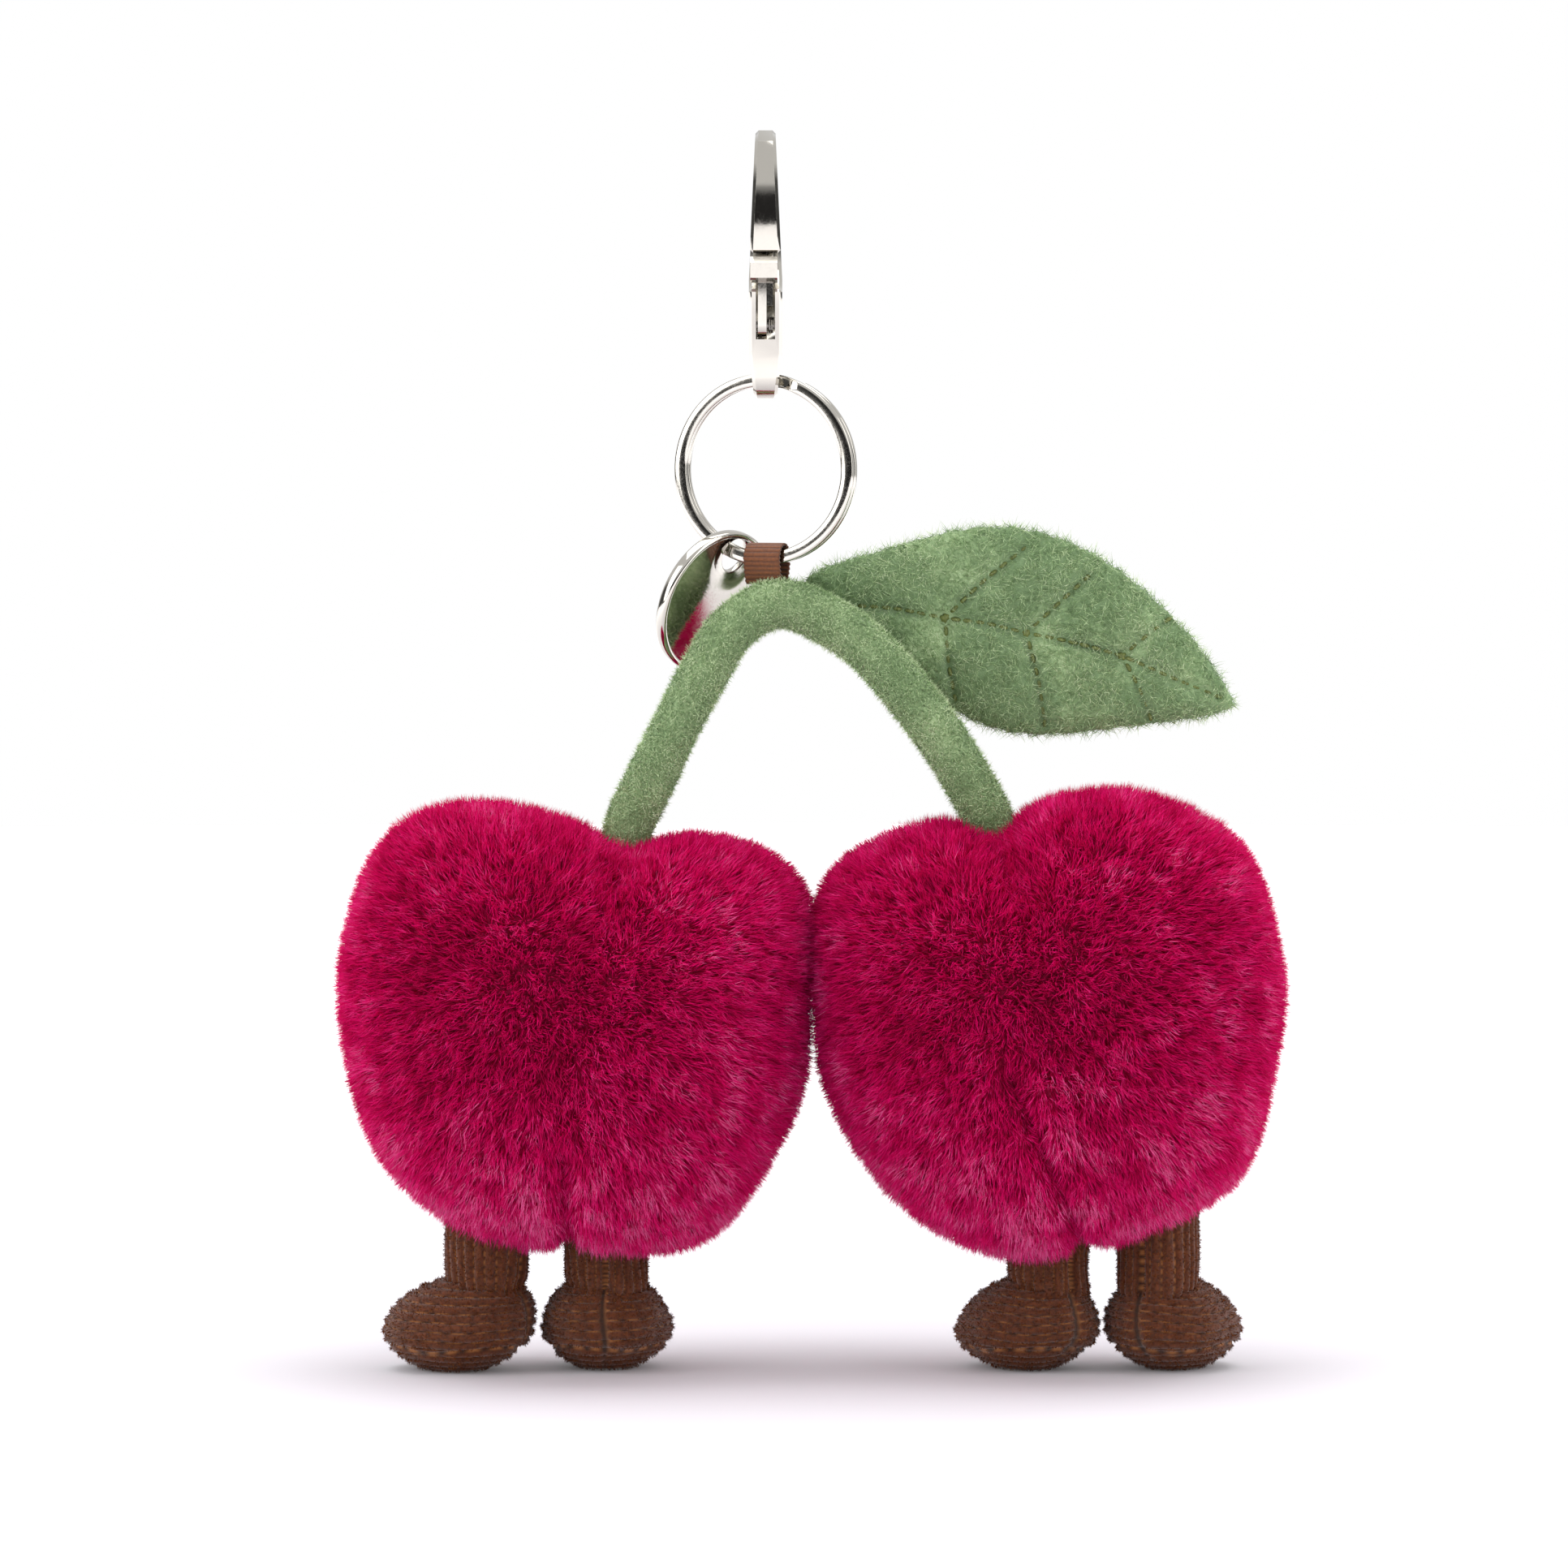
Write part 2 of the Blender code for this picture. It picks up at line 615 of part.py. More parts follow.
def make_leg(name, x, toe, top, plush_axis, corduroy, wadding):
    """A corduroy tube and a bun-shaped foot, cut as an upper and an oval sole, over one stuffing."""
    forward = Vector((math.cos(math.radians(toe)), math.sin(math.radians(toe)), 0))
    sideways = UP.cross(forward)
    base = Vector((x, PLUSH_Y, 0))

    def place(along, across, height):
        return base + forward * along + sideways * across + UP * height

    upper_levels = (SOLE_THICK + GAP, 3.0, 5.6, 8.2, 10.4, 12.2, FOOT_HIGH)
    upper = solid(f"{name}_foot_upper", foot_bm(0, upper_levels, place), corduroy, plush_axis)
    inner_levels = (0.5, 3.0, 5.6, 8.2, 10.4, FOOT_HIGH - CLOTH - 0.2)
    cut(upper, solid(f"{name}_foot_cutter", foot_bm(CLOTH, inner_levels, place), corduroy, plush_axis))
    opening = cylinder_between(base + UP * 7, base + UP * 30, LEG_R + 0.5, 16)
    cut(upper, solid(f"{name}_ankle_cutter", opening, corduroy, plush_axis))
    solid(f"{name}_sole", foot_bm(0, (0, SOLE_THICK), place), corduroy, plush_axis)

    ankle = 8.6
    bm = bmesh.new()
    frames = frames_along([base + UP * ankle, base + UP * (ankle + top) / 2, base + UP * top])
    sweep_hollow(bm, frames, circle(LEG_R, 16), circle(LEG_R - CLOTH, 16))
    solid(f"{name}_tube", bm, corduroy, plush_axis)

    fill_levels = (SOLE_THICK + GAP, 3.0, 5.6, ankle - GAP)
    fill = solid(f"{name}_stuffing", foot_bm(CLOTH + GAP, fill_levels, place), wadding, plush_axis)
    column = cylinder_between(base + UP * 7.3, base + UP * top, LEG_R - CLOTH - GAP, 16)
    join(fill, solid(f"{name}_column", column, wadding, plush_axis))


# ---------------------------------------------------------------- assembly


def main():
    clear_scene()
    nickel = finish("polished_nickel", "D8D8DA", 0.12, 1.0)
    steel = finish("spring_steel", "8E8B86", 0.4, 1.0)
    pile = finish("crimson_pile", "A8004A", 0.95, 0.0)
    felt = finish("green_felt", "7F9B6B", 1.0, 0.0)
    grosgrain = finish("brown_ribbon", "7A4530", 0.8, 0.0)
    corduroy = finish("brown_corduroy", "6B3E22", 0.95, 0.0)
    wadding = finish("wadding", "F0EEE8", 1.0, 0.0)

    root = pivot("hook_mount", (0, 0, HOOK_INSIDE_TOP))
    ring_axis = pivot("ring_axis", (0, 0, EYE_WIRE_Z), root)
    plush_axis = pivot("plush_axis", (0, 0, LOOP_WIRE_Z), ring_axis)
    tag_axis = pivot("tag_axis", TAG_HOLE, plush_axis)

    make_clasp(root, nickel, steel)
    make_split_ring(ring_axis, nickel)
    make_tag(tag_axis, nickel)
    make_ribbon(plush_axis, grosgrain)
    make_stalk(plush_axis, felt, wadding)
    make_leaf(plush_axis, felt, wadding)

    leg_tops = {name: Vector((x, PLUSH_Y, top)) for name, (x, toe, top) in LEGS.items()}
    line = [Vector(p) for p in STALK_LINE]
    left_end = (line[0], (line[1] - line[0]).normalized())
    right_end = (line[-1], (line[-2] - line[-1]).normalized())
    left_legs = (leg_tops["leg_1"], leg_tops["leg_2"])
    right_legs = (leg_tops["leg_3"], leg_tops["leg_4"])
    make_cherry("left", LEFT_OUTLINE, left_end, left_legs, plush_axis, pile, wadding)
    make_cherry("right", RIGHT_OUTLINE, right_end, right_legs, plush_axis, pile, wadding)
    for name, (x, toe, top) in LEGS.items():
        make_leg(name, x, toe, top, plush_axis, corduroy, wadding)


main()
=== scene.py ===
"""The looks of a plush bag charm: two cherries on one bent stalk, hung from a lobster clasp.

It is built in the order the charm is put together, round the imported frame. Shapes are worked in millimetres
above the soles of the feet and moved to the frame, whose origin is the inside top of the clasp's hook.
"""

import bmesh
import bpy
import numpy as np
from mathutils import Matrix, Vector


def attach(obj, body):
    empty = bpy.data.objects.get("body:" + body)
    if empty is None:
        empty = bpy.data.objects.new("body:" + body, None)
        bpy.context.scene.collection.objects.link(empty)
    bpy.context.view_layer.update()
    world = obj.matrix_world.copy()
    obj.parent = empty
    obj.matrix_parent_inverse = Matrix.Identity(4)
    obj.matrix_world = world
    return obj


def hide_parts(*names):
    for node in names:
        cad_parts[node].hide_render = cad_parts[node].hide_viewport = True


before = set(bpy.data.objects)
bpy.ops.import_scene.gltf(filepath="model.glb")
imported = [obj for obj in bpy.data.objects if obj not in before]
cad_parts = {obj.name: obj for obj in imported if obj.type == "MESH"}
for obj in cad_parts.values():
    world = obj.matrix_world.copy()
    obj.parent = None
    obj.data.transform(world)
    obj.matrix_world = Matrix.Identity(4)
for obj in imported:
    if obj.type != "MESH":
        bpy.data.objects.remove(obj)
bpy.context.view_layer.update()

# ---------------------------------------------------------------- lobster clasp
# A die-cast zinc hook with a swivelling thumb gate on a steel pin, barrel-polished and nickel plated. Its castings
# are flat-fronted with broad bevels down both sides, so each face throws one clean band of light or dark.

MM = 0.001
HOOK_INSIDE_TOP = 179.3  # height of the frame's origin above the soles


def in_frame(points):
    """Millimetres above the soles, as metres in the frame."""
    return (np.asarray(points, float) - (0, 0, HOOK_INSIDE_TOP)) * MM


def linear(colour):
    """An sRGB hex colour as linear red, green, blue and alpha."""
    parts = [int(colour[i : i + 2], 16) / 255 for i in (1, 3, 5)]
    return (*(c / 12.92 if c <= 0.04045 else ((c + 0.055) / 1.055) ** 2.4 for c in parts), 1.0)


def add(tree, kind, links=None, **settings):
    """Adds a node. links gives inputs, by name or number, a value or the output that feeds them."""
    node = tree.nodes.new(kind)
    for name, value in settings.items():
        setattr(node, name, value)
    for key, value in (links or {}).items():
        if isinstance(value, bpy.types.NodeSocket):
            tree.links.new(value, node.inputs[key])
        elif isinstance(value, bpy.types.Node):
            tree.links.new(value.outputs[0], node.inputs[key])
        else:
            node.inputs[key].default_value = value
    return node


def finish_of(name, colour, roughness, metallic=0.0):
    """A material with one Principled shader, then its tree, its shader and the Object coordinates it reads."""
    mat = bpy.data.materials.new(name)
    mat.use_nodes = True
    shader = mat.node_tree.nodes["Principled BSDF"]
    shader.inputs["Base Color"].default_value = linear(colour)
    shader.inputs["Roughness"].default_value = roughness
    shader.inputs["Metallic"].default_value = metallic
    return mat, mat.node_tree, shader, add(mat.node_tree, "ShaderNodeTexCoord").outputs["Object"]


def object_from(name, mesh, material, soft_edge=None):
    """A smooth-shaded object at the origin. Edges sharper than soft_edge degrees stay crisp."""
    mesh.name = name
    mesh.materials.clear()
    mesh.materials.append(material)
    mesh.shade_smooth()
    if soft_edge:
        mesh.set_sharp_from_angle(angle=np.radians(soft_edge))
    obj = bpy.data.objects.new(name, mesh)
    bpy.context.scene.collection.objects.link(obj)
    return obj


def baked(obj):
    """Applies every modifier of the object."""
    graph = bpy.context.evaluated_depsgraph_get()
    done = bpy.data.meshes.new_from_object(obj.evaluated_get(graph))
    obj.modifiers.clear()
    obj.data = done
    return obj


def refined(name, node, material, edge, fold=30):
    """A copy of a CAD casting with its triangles merged and every edge rounded, in place of the node."""
    bm = bmesh.new()
    bm.from_mesh(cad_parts[node].data)
    bmesh.ops.remove_doubles(bm, verts=bm.verts, dist=0.004 * MM)
    bmesh.ops.dissolve_limit(bm, angle_limit=np.radians(1.0), verts=bm.verts, edges=bm.edges)
    bmesh.ops.recalc_face_normals(bm, faces=bm.faces)
    mesh = bpy.data.meshes.new(name)
    bm.to_mesh(mesh)
    bm.free()
    obj = object_from(name, mesh, material, fold)
    rounding = obj.modifiers.new("rounded_edges", "BEVEL")
    rounding.width = edge * MM
    rounding.segments = 3
    rounding.limit_method = "ANGLE"
    rounding.angle_limit = np.radians(fold)
    rounding.harden_normals = True
    baked(obj)
    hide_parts(node)
    return obj


# Polished nickel plate: a warm white metal, mirror bright, with faint tumbling marks about 0.3 mm apart.
nickel, tree, shader, spot = finish_of("polished_nickel_plate", "#C2BEB6", 0.07, 1.0)
marks = add(tree, "ShaderNodeTexNoise", {"Vector": spot, "Scale": 3300.0, "Detail": 2.0})
handled = add(tree, "ShaderNodeTexNoise", {"Vector": spot, "Scale": 220.0, "Detail": 3.0})
wear = add(tree, "ShaderNodeMath", {0: marks, 1: handled}, operation="MULTIPLY")
polish = add(tree, "ShaderNodeMapRange", {0: wear, 1: 0.12, 2: 0.42, 3: 0.05, 4: 0.16})
tree.links.new(polish.outputs[0], shader.inputs["Roughness"])
dimple = add(tree, "ShaderNodeBump", {"Strength": 0.12, "Distance": 0.00006, "Height": handled})
tree.links.new(dimple.outputs[0], shader.inputs["Normal"])

# Unpolished spring steel: grey drawn wire and pin, with a dull grain.
steel, tree, shader, spot = finish_of("drawn_spring_steel", "#8E8B86", 0.38, 1.0)
grain = add(tree, "ShaderNodeTexNoise", {"Vector": spot, "Scale": 2500.0, "Detail": 3.0})
dull = add(tree, "ShaderNodeMapRange", {0: grain, 1: 0.3, 2: 0.7, 3: 0.3, 4: 0.5})
tree.links.new(dull.outputs[0], shader.inputs["Roughness"])

hook = refined("clasp_hook", "clasp_body", nickel, 0.16)
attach(hook, "clasp")
thumb_gate = refined("clasp_thumb_gate", "clasp_gate", nickel, 0.16)
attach(thumb_gate, "gate")
for node in ("clasp_pin", "clasp_spring"):
    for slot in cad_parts[node].material_slots:
        slot.material = steel

# ---------------------------------------------------------------- split ring
# Two turns of flattened steel wire, nickel plated. The turns lie against each other and change places in a short
# step beside the clasp, where the cut end shows.

RING_CENTRE = np.array((0.0, 0.0, 132.3))
RING_YAW = np.radians(21)
RING_OUTER_R, RING_RADIAL, RING_COIL, RING_PITCH = 14.0, 1.9, 1.15, 1.25
RING_WIRE_R = RING_OUTER_R - RING_RADIAL / 2
RING_STEP, RING_STEP_HALF, RING_END = np.radians((15, 9, 10.5))
ALONG_RING = np.array((np.cos(RING_YAW), -np.sin(RING_YAW), 0.0))
UP = np.array((0.0, 0.0, 1.0))
ACROSS_RING = np.cross(ALONG_RING, UP)


def skin(name, rings, material, soft_edge=None, closed=True, capped=True, looped=False):
    """Faces over rings of points in millimetres, facing outwards. Ends are closed with a point in their middle."""
    rows, cols = rings.shape[:2]
    points = in_frame(rings.reshape(-1, 3))
    index = np.arange(rows * cols).reshape(rows, cols)
    first, second = (index, np.roll(index, -1, 0)) if looped else (index[:-1], index[1:])
    if closed:
        quads = np.stack([first, np.roll(first, -1, 1), np.roll(second, -1, 1), second], -1)
    else:
        quads = np.stack([first[:, :-1], first[:, 1:], second[:, 1:], second[:, :-1]], -1)
    faces = quads.reshape(-1, 4).tolist()
    if capped and closed and not looped:
        for ring in (index[0], index[-1]):
            middle = len(points)
            points = np.vstack([points, points[ring].mean(0)])
            faces += [(middle, int(a), int(b)) for a, b in zip(ring, np.roll(ring, -1))]
    mesh = bpy.data.meshes.new(name)
    mesh.from_pydata(points.tolist(), [], faces)
    bm = bmesh.new()
    bm.from_mesh(mesh)
    bmesh.ops.recalc_face_normals(bm, faces=bm.faces)
    bm.to_mesh(mesh)
    bm.free()
    return object_from(name, mesh, material, soft_edge)


def rounded_bar(half_a, half_b, sharpness, count):
    """Points round a bar's section, between an ellipse (sharpness 2) and a rectangle."""
    turn = np.arange(count) * 2 * np.pi / count
    c, s = np.cos(turn), np.sin(turn)
    power = 2 / sharpness
    return np.copysign(np.abs(c) ** power, c) * half_a, np.copysign(np.abs(s) ** power, s) * half_b


radial, axial = rounded_bar(RING_RADIAL / 2, RING_COIL / 2, 4.0, 20)
travelled = np.linspace(RING_END, 4 * np.pi - RING_END, 361)
step = np.clip((travelled - 2 * np.pi + RING_STEP_HALF) / (2 * RING_STEP_HALF), 0, 1)
drift = RING_PITCH * (step * step * (3 - 2 * step) - 0.5)
angle = RING_STEP + travelled
outward = ALONG_RING * np.sin(angle)[:, None] + UP * np.cos(angle)[:, None]
coils = (
    RING_CENTRE
    + outward[:, None] * (RING_WIRE_R + radial)[None, :, None]
    + ACROSS_RING * (drift[:, None] + axial)[..., None]
)
ring = skin("split_ring_coils", coils, nickel, 50)
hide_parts("split_ring")
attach(ring, "ring")

# ---------------------------------------------------------------- hanging tag
# A stamped zinc disc, nickel plated like the clasp, with a raised round rim and a plain mirror face. It is left
# blank. The split ring passes through the hole near its edge.

TAG_NORMAL = np.array((0.695, -0.632, -0.342))
TAG_NORMAL /= np.linalg.norm(TAG_NORMAL)
TAG_R, TAG_HALF, TAG_HOLE_R, TAG_DROP = 11.0, 0.9, 2.5, 7.45
TAG_HOLE = np.array((-4.9, 1.88, 119.85))
TO_HOLE = np.array((2.8, -0.655, 6.9))
TO_HOLE -= TAG_NORMAL * TO_HOLE.dot(TAG_NORMAL)
TO_HOLE /= np.linalg.norm(TO_HOLE)
TAG_ACROSS = np.cross(TO_HOLE, TAG_NORMAL)
TAG_RIM, TAG_FACE = 0.95, 0.62  # width of the raised rim, and half the thickness inside it

tag_turn = np.arange(128) * 2 * np.pi / 128
spokes = TAG_ACROSS * np.cos(tag_turn)[:, None] + TO_HOLE * np.sin(tag_turn)[:, None]
tag_middle = TAG_HOLE - TO_HOLE * TAG_DROP


def tag_rings(side):
    """One face from the hole's wall out to the middle of the disc's edge. side is 1 or -1."""
    rows = []
    for out, height in ((0.0, 0.0), (0.0, 0.36), (0.08, 0.52), (0.25, TAG_FACE)):
        rows.append(TAG_HOLE + spokes * (TAG_HOLE_R + out) + TAG_NORMAL * height * side)
    inner = TAG_R - TAG_RIM
    for share in (0.25, 0.5, 0.75, 0.97):
        centre = TAG_HOLE + (tag_middle - TAG_HOLE) * share
        radius = (TAG_HOLE_R + 0.25) * (1 - share) + inner * share
        rows.append(centre + spokes * radius + TAG_NORMAL * TAG_FACE * side)
    for lift in np.radians(np.arange(0, 181, 15)):
        radius = inner + TAG_RIM * (0.5 - 0.5 * np.cos(lift))
        height = TAG_HALF * np.sin(lift) ** 0.6 if lift > np.pi / 2 else TAG_FACE + (TAG_HALF - TAG_FACE) * np.sin(lift)
        rows.append(tag_middle + spokes * radius + TAG_NORMAL * height * side)
    return rows


tag_shell = np.array(tag_rings(1) + tag_rings(-1)[::-1][1:-1])
tag = skin("round_tag", tag_shell, nickel, 50, looped=True)
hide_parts("tag_disc")
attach(tag, "tag")

# ---------------------------------------------------------------- ribbon loop
# Rust-brown grosgrain, 5.6 mm wide, folded over the ring and sewn down into the top of the stalk. Its thick weft
# makes ribs straight across the width, about 0.65 mm apart, between two tight selvedges.

LOOP_WIRE = np.array((0.0, 0.0, 119.25))
RIBBON_HALF, RIBBON_SHIFT, RIBBON_R = 2.8, 0.2, 2.05
RIBBON_LEG = 3.6  # from the wire's middle down into the stalk
RIB_PITCH, RIB_HEIGHT = 0.65, 0.13

# Grosgrain: matt rayon mottled by its yarn, with painted shade that darkens the gaps between its ribs nearly to
# black-brown, while the raised ribs stay lighter.
grosgrain, tree, shader, spot = finish_of("rust_grosgrain_ribbon", "#80492F", 0.72)
rib_shade_mask = add(tree, "ShaderNodeAttribute", attribute_name="rib_shade_mask").outputs["Fac"]
yarn = add(tree, "ShaderNodeTexNoise", {"Vector": spot, "Scale": 2600.0, "Detail": 3.0, "Roughness": 0.7})
shade = add(tree, "ShaderNodeMath", {0: rib_shade_mask, 1: yarn}, operation="MULTIPLY")
ramp = add(tree, "ShaderNodeValToRGB", {0: shade})
ramp.color_ramp.elements[0].color = linear("#2C140A")
ramp.color_ramp.elements[1].color = linear("#784014")
ramp.color_ramp.elements[1].position = 0.62
tree.links.new(ramp.outputs[0], shader.inputs["Base Color"])
fuzz = add(tree, "ShaderNodeBump", {"Strength": 0.5, "Distance": 0.0001, "Height": yarn})
tree.links.new(fuzz.outputs[0], shader.inputs["Normal"])
shader.inputs["Sheen Weight"].default_value = 0.25


def store(obj, name, values):
    """Keeps one number for each point of the mesh."""
    spread = np.zeros(len(obj.data.vertices), np.float32)
    spread[: values.size] = values.ravel()
    obj.data.attributes.new(name, "FLOAT", "POINT").data.foreach_set("value", spread)


run = np.linspace(0, 1, 260)
arch = np.pi * RIBBON_R
ribbon_long = arch + 2 * RIBBON_LEG
walked = run * ribbon_long
bend = np.clip((walked - RIBBON_LEG) / RIBBON_R, 0, np.pi)
left_leg = np.clip(RIBBON_LEG - walked, 0, None)
right_leg = np.clip(walked - RIBBON_LEG - arch, 0, None)
down = left_leg + right_leg
pinch = 1 - 0.5 * np.clip(down / RIBBON_LEG, 0, 1) ** 1.5  # the two layers draw together at the seam
ribbon_a = -np.cos(bend) * RIBBON_R * pinch
ribbon_b = np.sin(bend) * RIBBON_R - down
tangent = np.gradient(np.stack([ribbon_a, ribbon_b], 1), axis=0)
tangent /= np.linalg.norm(tangent, axis=1, keepdims=True)
ribs = np.abs(np.sin(np.pi * walked / RIB_PITCH)) ** 0.7
widths = np.linspace(-1, 1, 29)
selvedge = np.clip((1 - np.abs(widths)) / 0.12, 0, 1) ** 0.5
lift = RIB_HEIGHT * (ribs[:, None] * selvedge + 0.6 * (1 - selvedge))
edge_wave = 0.06 * np.sin(2 * np.pi * walked / RIB_PITCH)[:, None] * np.sign(widths) * (np.abs(widths) > 0.9)
ribbon_grid = (
    LOOP_WIRE
    + ALONG_RING * (RIBBON_SHIFT + RIBBON_HALF * widths + edge_wave)[..., None]
    + ACROSS_RING * (ribbon_a[:, None] - tangent[:, 1:] * lift)[..., None]
    + UP * (ribbon_b[:, None] + tangent[:, :1] * lift)[..., None]
)
ribbon = skin("ribbon_loop_grosgrain", ribbon_grid, grosgrain, closed=False)
# The ribs' height, which sets the painted shade in the gaps between them
store(ribbon, "rib_shade_mask", lift / RIB_HEIGHT)
thickness = ribbon.modifiers.new("cloth_thickness", "SOLIDIFY")
thickness.thickness = 0.32 * MM
thickness.offset = 0
baked(ribbon)
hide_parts("ribbon_loop")
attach(ribbon, "plush")

# ---------------------------------------------------------------- stalk
# One tube of sage-green felted fleece, sewn round a stuffed core and bent into an arch. The cloth is 1 mm thick,
# with a close curly surface; both ends are sewn down into the cherries.

STALK_R, STALK_CLOTH, STALK_AROUND = 3.7, 0.35, 56  # the wool stands 0.35 mm off the tube below it
STALK_LINE = (
    (-20.6, -2.9, 76.0), (-19.8, -2.9, 80.6), (-16.9, -3.3, 86.9), (-13.0, -4.0, 95.2), (-8.5, -4.2, 103.6),
    (-4.3, -3.2, 109.6), (2.2, -2.0, 112.7), (9.6, -2.4, 109.9), (16.3, -2.7, 105.0), (24.2, -2.9, 95.2),
    (29.6, -2.9, 86.9), (32.6, -2.8, 81.2), (33.6, -2.8, 76.6),
)
FULL_PILE = 1.0


def smooth_line(points, count, closed=False):
    """A Catmull-Rom curve through the points, as count points evenly spaced in its parameter."""
    pts = np.asarray(points, float)
    if closed:
        pts = np.vstack([pts[-1:], pts, pts[:2]])
    else:
        pts = np.vstack([2 * pts[0] - pts[1], pts, 2 * pts[-1] - pts[-2]])
    spans = len(pts) - 3
    t = np.arange(count) * spans / (count if closed else count - 1)
    k = np.minimum(t.astype(int), spans - 1)
    f = (t - k)[:, None]
    a, b, c, d = (pts[k + i] for i in range(4))
    return 0.5 * (2 * b + (c - a) * f + (2 * a - 5 * b + 4 * c - d) * f**2 + (3 * b - a - 3 * c + d) * f**3)


def tube(path, radius, around):
    """Rings round a path, carried along it without twist. radius may be one number for each ring."""
    ahead = np.gradient(path, axis=0)
    ahead /= np.linalg.norm(ahead, axis=1, keepdims=True)
    side = np.cross(ahead[0], (0.0, 1.0, 0.0))
    turn = np.arange(around) * 2 * np.pi / around
    rings = []
    for point, forward, r in zip(path, ahead, np.broadcast_to(radius, (len(path), around))):
        side = side - forward * side.dot(forward)
        side /= np.linalg.norm(side)
        other = np.cross(forward, side)
        rings.append(point + (side * np.cos(turn)[:, None] + other * np.sin(turn)[:, None]) * r[:, None])
    return np.array(rings)


def lumps(points, size, seed):
    """Gentle swellings between -1 and 1, about size millimetres across."""
    rng = np.random.default_rng(seed)
    total = 0
    for _ in range(7):
        way = rng.normal(size=3)
        way *= rng.uniform(0.7, 1.4) * np.pi / size / np.linalg.norm(way)
        total = total + np.sin(points @ way + rng.uniform(0, 2 * np.pi))
    return total / 3.2


def felt(name, dark, middle, light):
    """Felted wool fleece: matt, mottled between three greens, with curls 0.7 mm across in its surface."""
    mat, tree, shader, spot = finish_of(name, middle, 0.95)
    curl = add(tree, "ShaderNodeTexNoise", {"Vector": spot, "Scale": 1500.0, "Detail": 4.0, "Distortion": 1.2})
    patch = add(tree, "ShaderNodeTexNoise", {"Vector": spot, "Scale": 130.0, "Detail": 2.0})
    mixed = add(tree, "ShaderNodeMath", {0: curl, 1: patch, 2: patch}, operation="MULTIPLY_ADD")
    halved = add(tree, "ShaderNodeMath", {0: mixed, 1: 0.5}, operation="MULTIPLY")
    ramp = add(tree, "ShaderNodeValToRGB", {0: halved})
    ramp.color_ramp.elements[0].color = linear(dark)
    ramp.color_ramp.elements[0].position = 0.38
    ramp.color_ramp.elements[1].color = linear(light)
    ramp.color_ramp.elements[1].position = 0.62
    ramp.color_ramp.elements.new(0.5).color = linear(middle)
    tree.links.new(ramp.outputs[0], shader.inputs["Base Color"])
    rough = add(tree, "ShaderNodeBump", {"Strength": 0.8, "Distance": 0.0003, "Height": curl})
    tree.links.new(rough.outputs[0], shader.inputs["Normal"])
    shader.inputs["Sheen Weight"].default_value = 0.3
    return mat


def fibre_shades(name, colours, sheen=0.0):
    """One plain matt finish for each shade of fibre given, the dye's colours for tips and darker painted-shade colours
    for roots, with a grain along the hair in its gloss.
    """
    shades = []
    for number, colour in enumerate(colours):
        mat, tree, shader, spot = finish_of(f"{name}_{number}", colour, 0.75)
        grain = add(tree, "ShaderNodeTexNoise", {"Vector": spot, "Scale": 900.0})
        gloss = add(tree, "ShaderNodeMapRange", {0: grain, 1: 0.3, 2: 0.7, 3: 0.6, 4: 0.9})
        tree.links.new(gloss.outputs[0], shader.inputs["Roughness"])
        shader.inputs["Specular IOR Level"].default_value = 0.12
        shader.inputs["Sheen Weight"].default_value = sheen
        shades.append(mat)
    return shades


def fibre(name, curl):
    """A single fibre, one unit long and wide: a tapered blade of three faces that curls over towards its tip."""
    mesh = bpy.data.meshes.new(name)
    points = [(-0.5, 0, 0), (0.5, 0, 0), (0.4, curl * 0.25, 0.5), (-0.4, curl * 0.25, 0.5), (0, curl, 1)]
    mesh.from_pydata(points, [], [(0, 1, 2), (0, 2, 3), (3, 2, 4)])
    mesh.attributes.new("tip", "FLOAT", "FACE").data.foreach_set("value", (0.0, 0.0, 1.0))
    return bpy.data.objects.new(name, mesh)


def tree_with(name, sizes, **others):
    """An empty Geometry Nodes tree and its named inputs: numbers for sizes, then others of the kinds given."""
    tree = bpy.data.node_groups.new(name, "GeometryNodeTree")
    kinds = {"Geometry": "Geometry", **dict.fromkeys(sizes, "Float"), **others}
    for label, kind in kinds.items():
        tree.interface.new_socket(label, in_out="INPUT", socket_type=f"NodeSocket{kind}")
    tree.interface.new_socket("Geometry", in_out="OUTPUT", socket_type="NodeSocketGeometry")
    return tree, add(tree, "NodeGroupInput").outputs


def grow(obj, tree, amounts):
    """Runs a tree on an object, with its inputs given by name, and applies it."""
    growth = obj.modifiers.new(tree.name, "NODES")
    growth.node_group = tree
    for item in tree.interface.items_tree:
        label = item.name.lower().replace(" ", "_")
        if item.in_out == "INPUT" and label in amounts:
            growth[item.identifier] = amounts[label]
    return baked(obj)


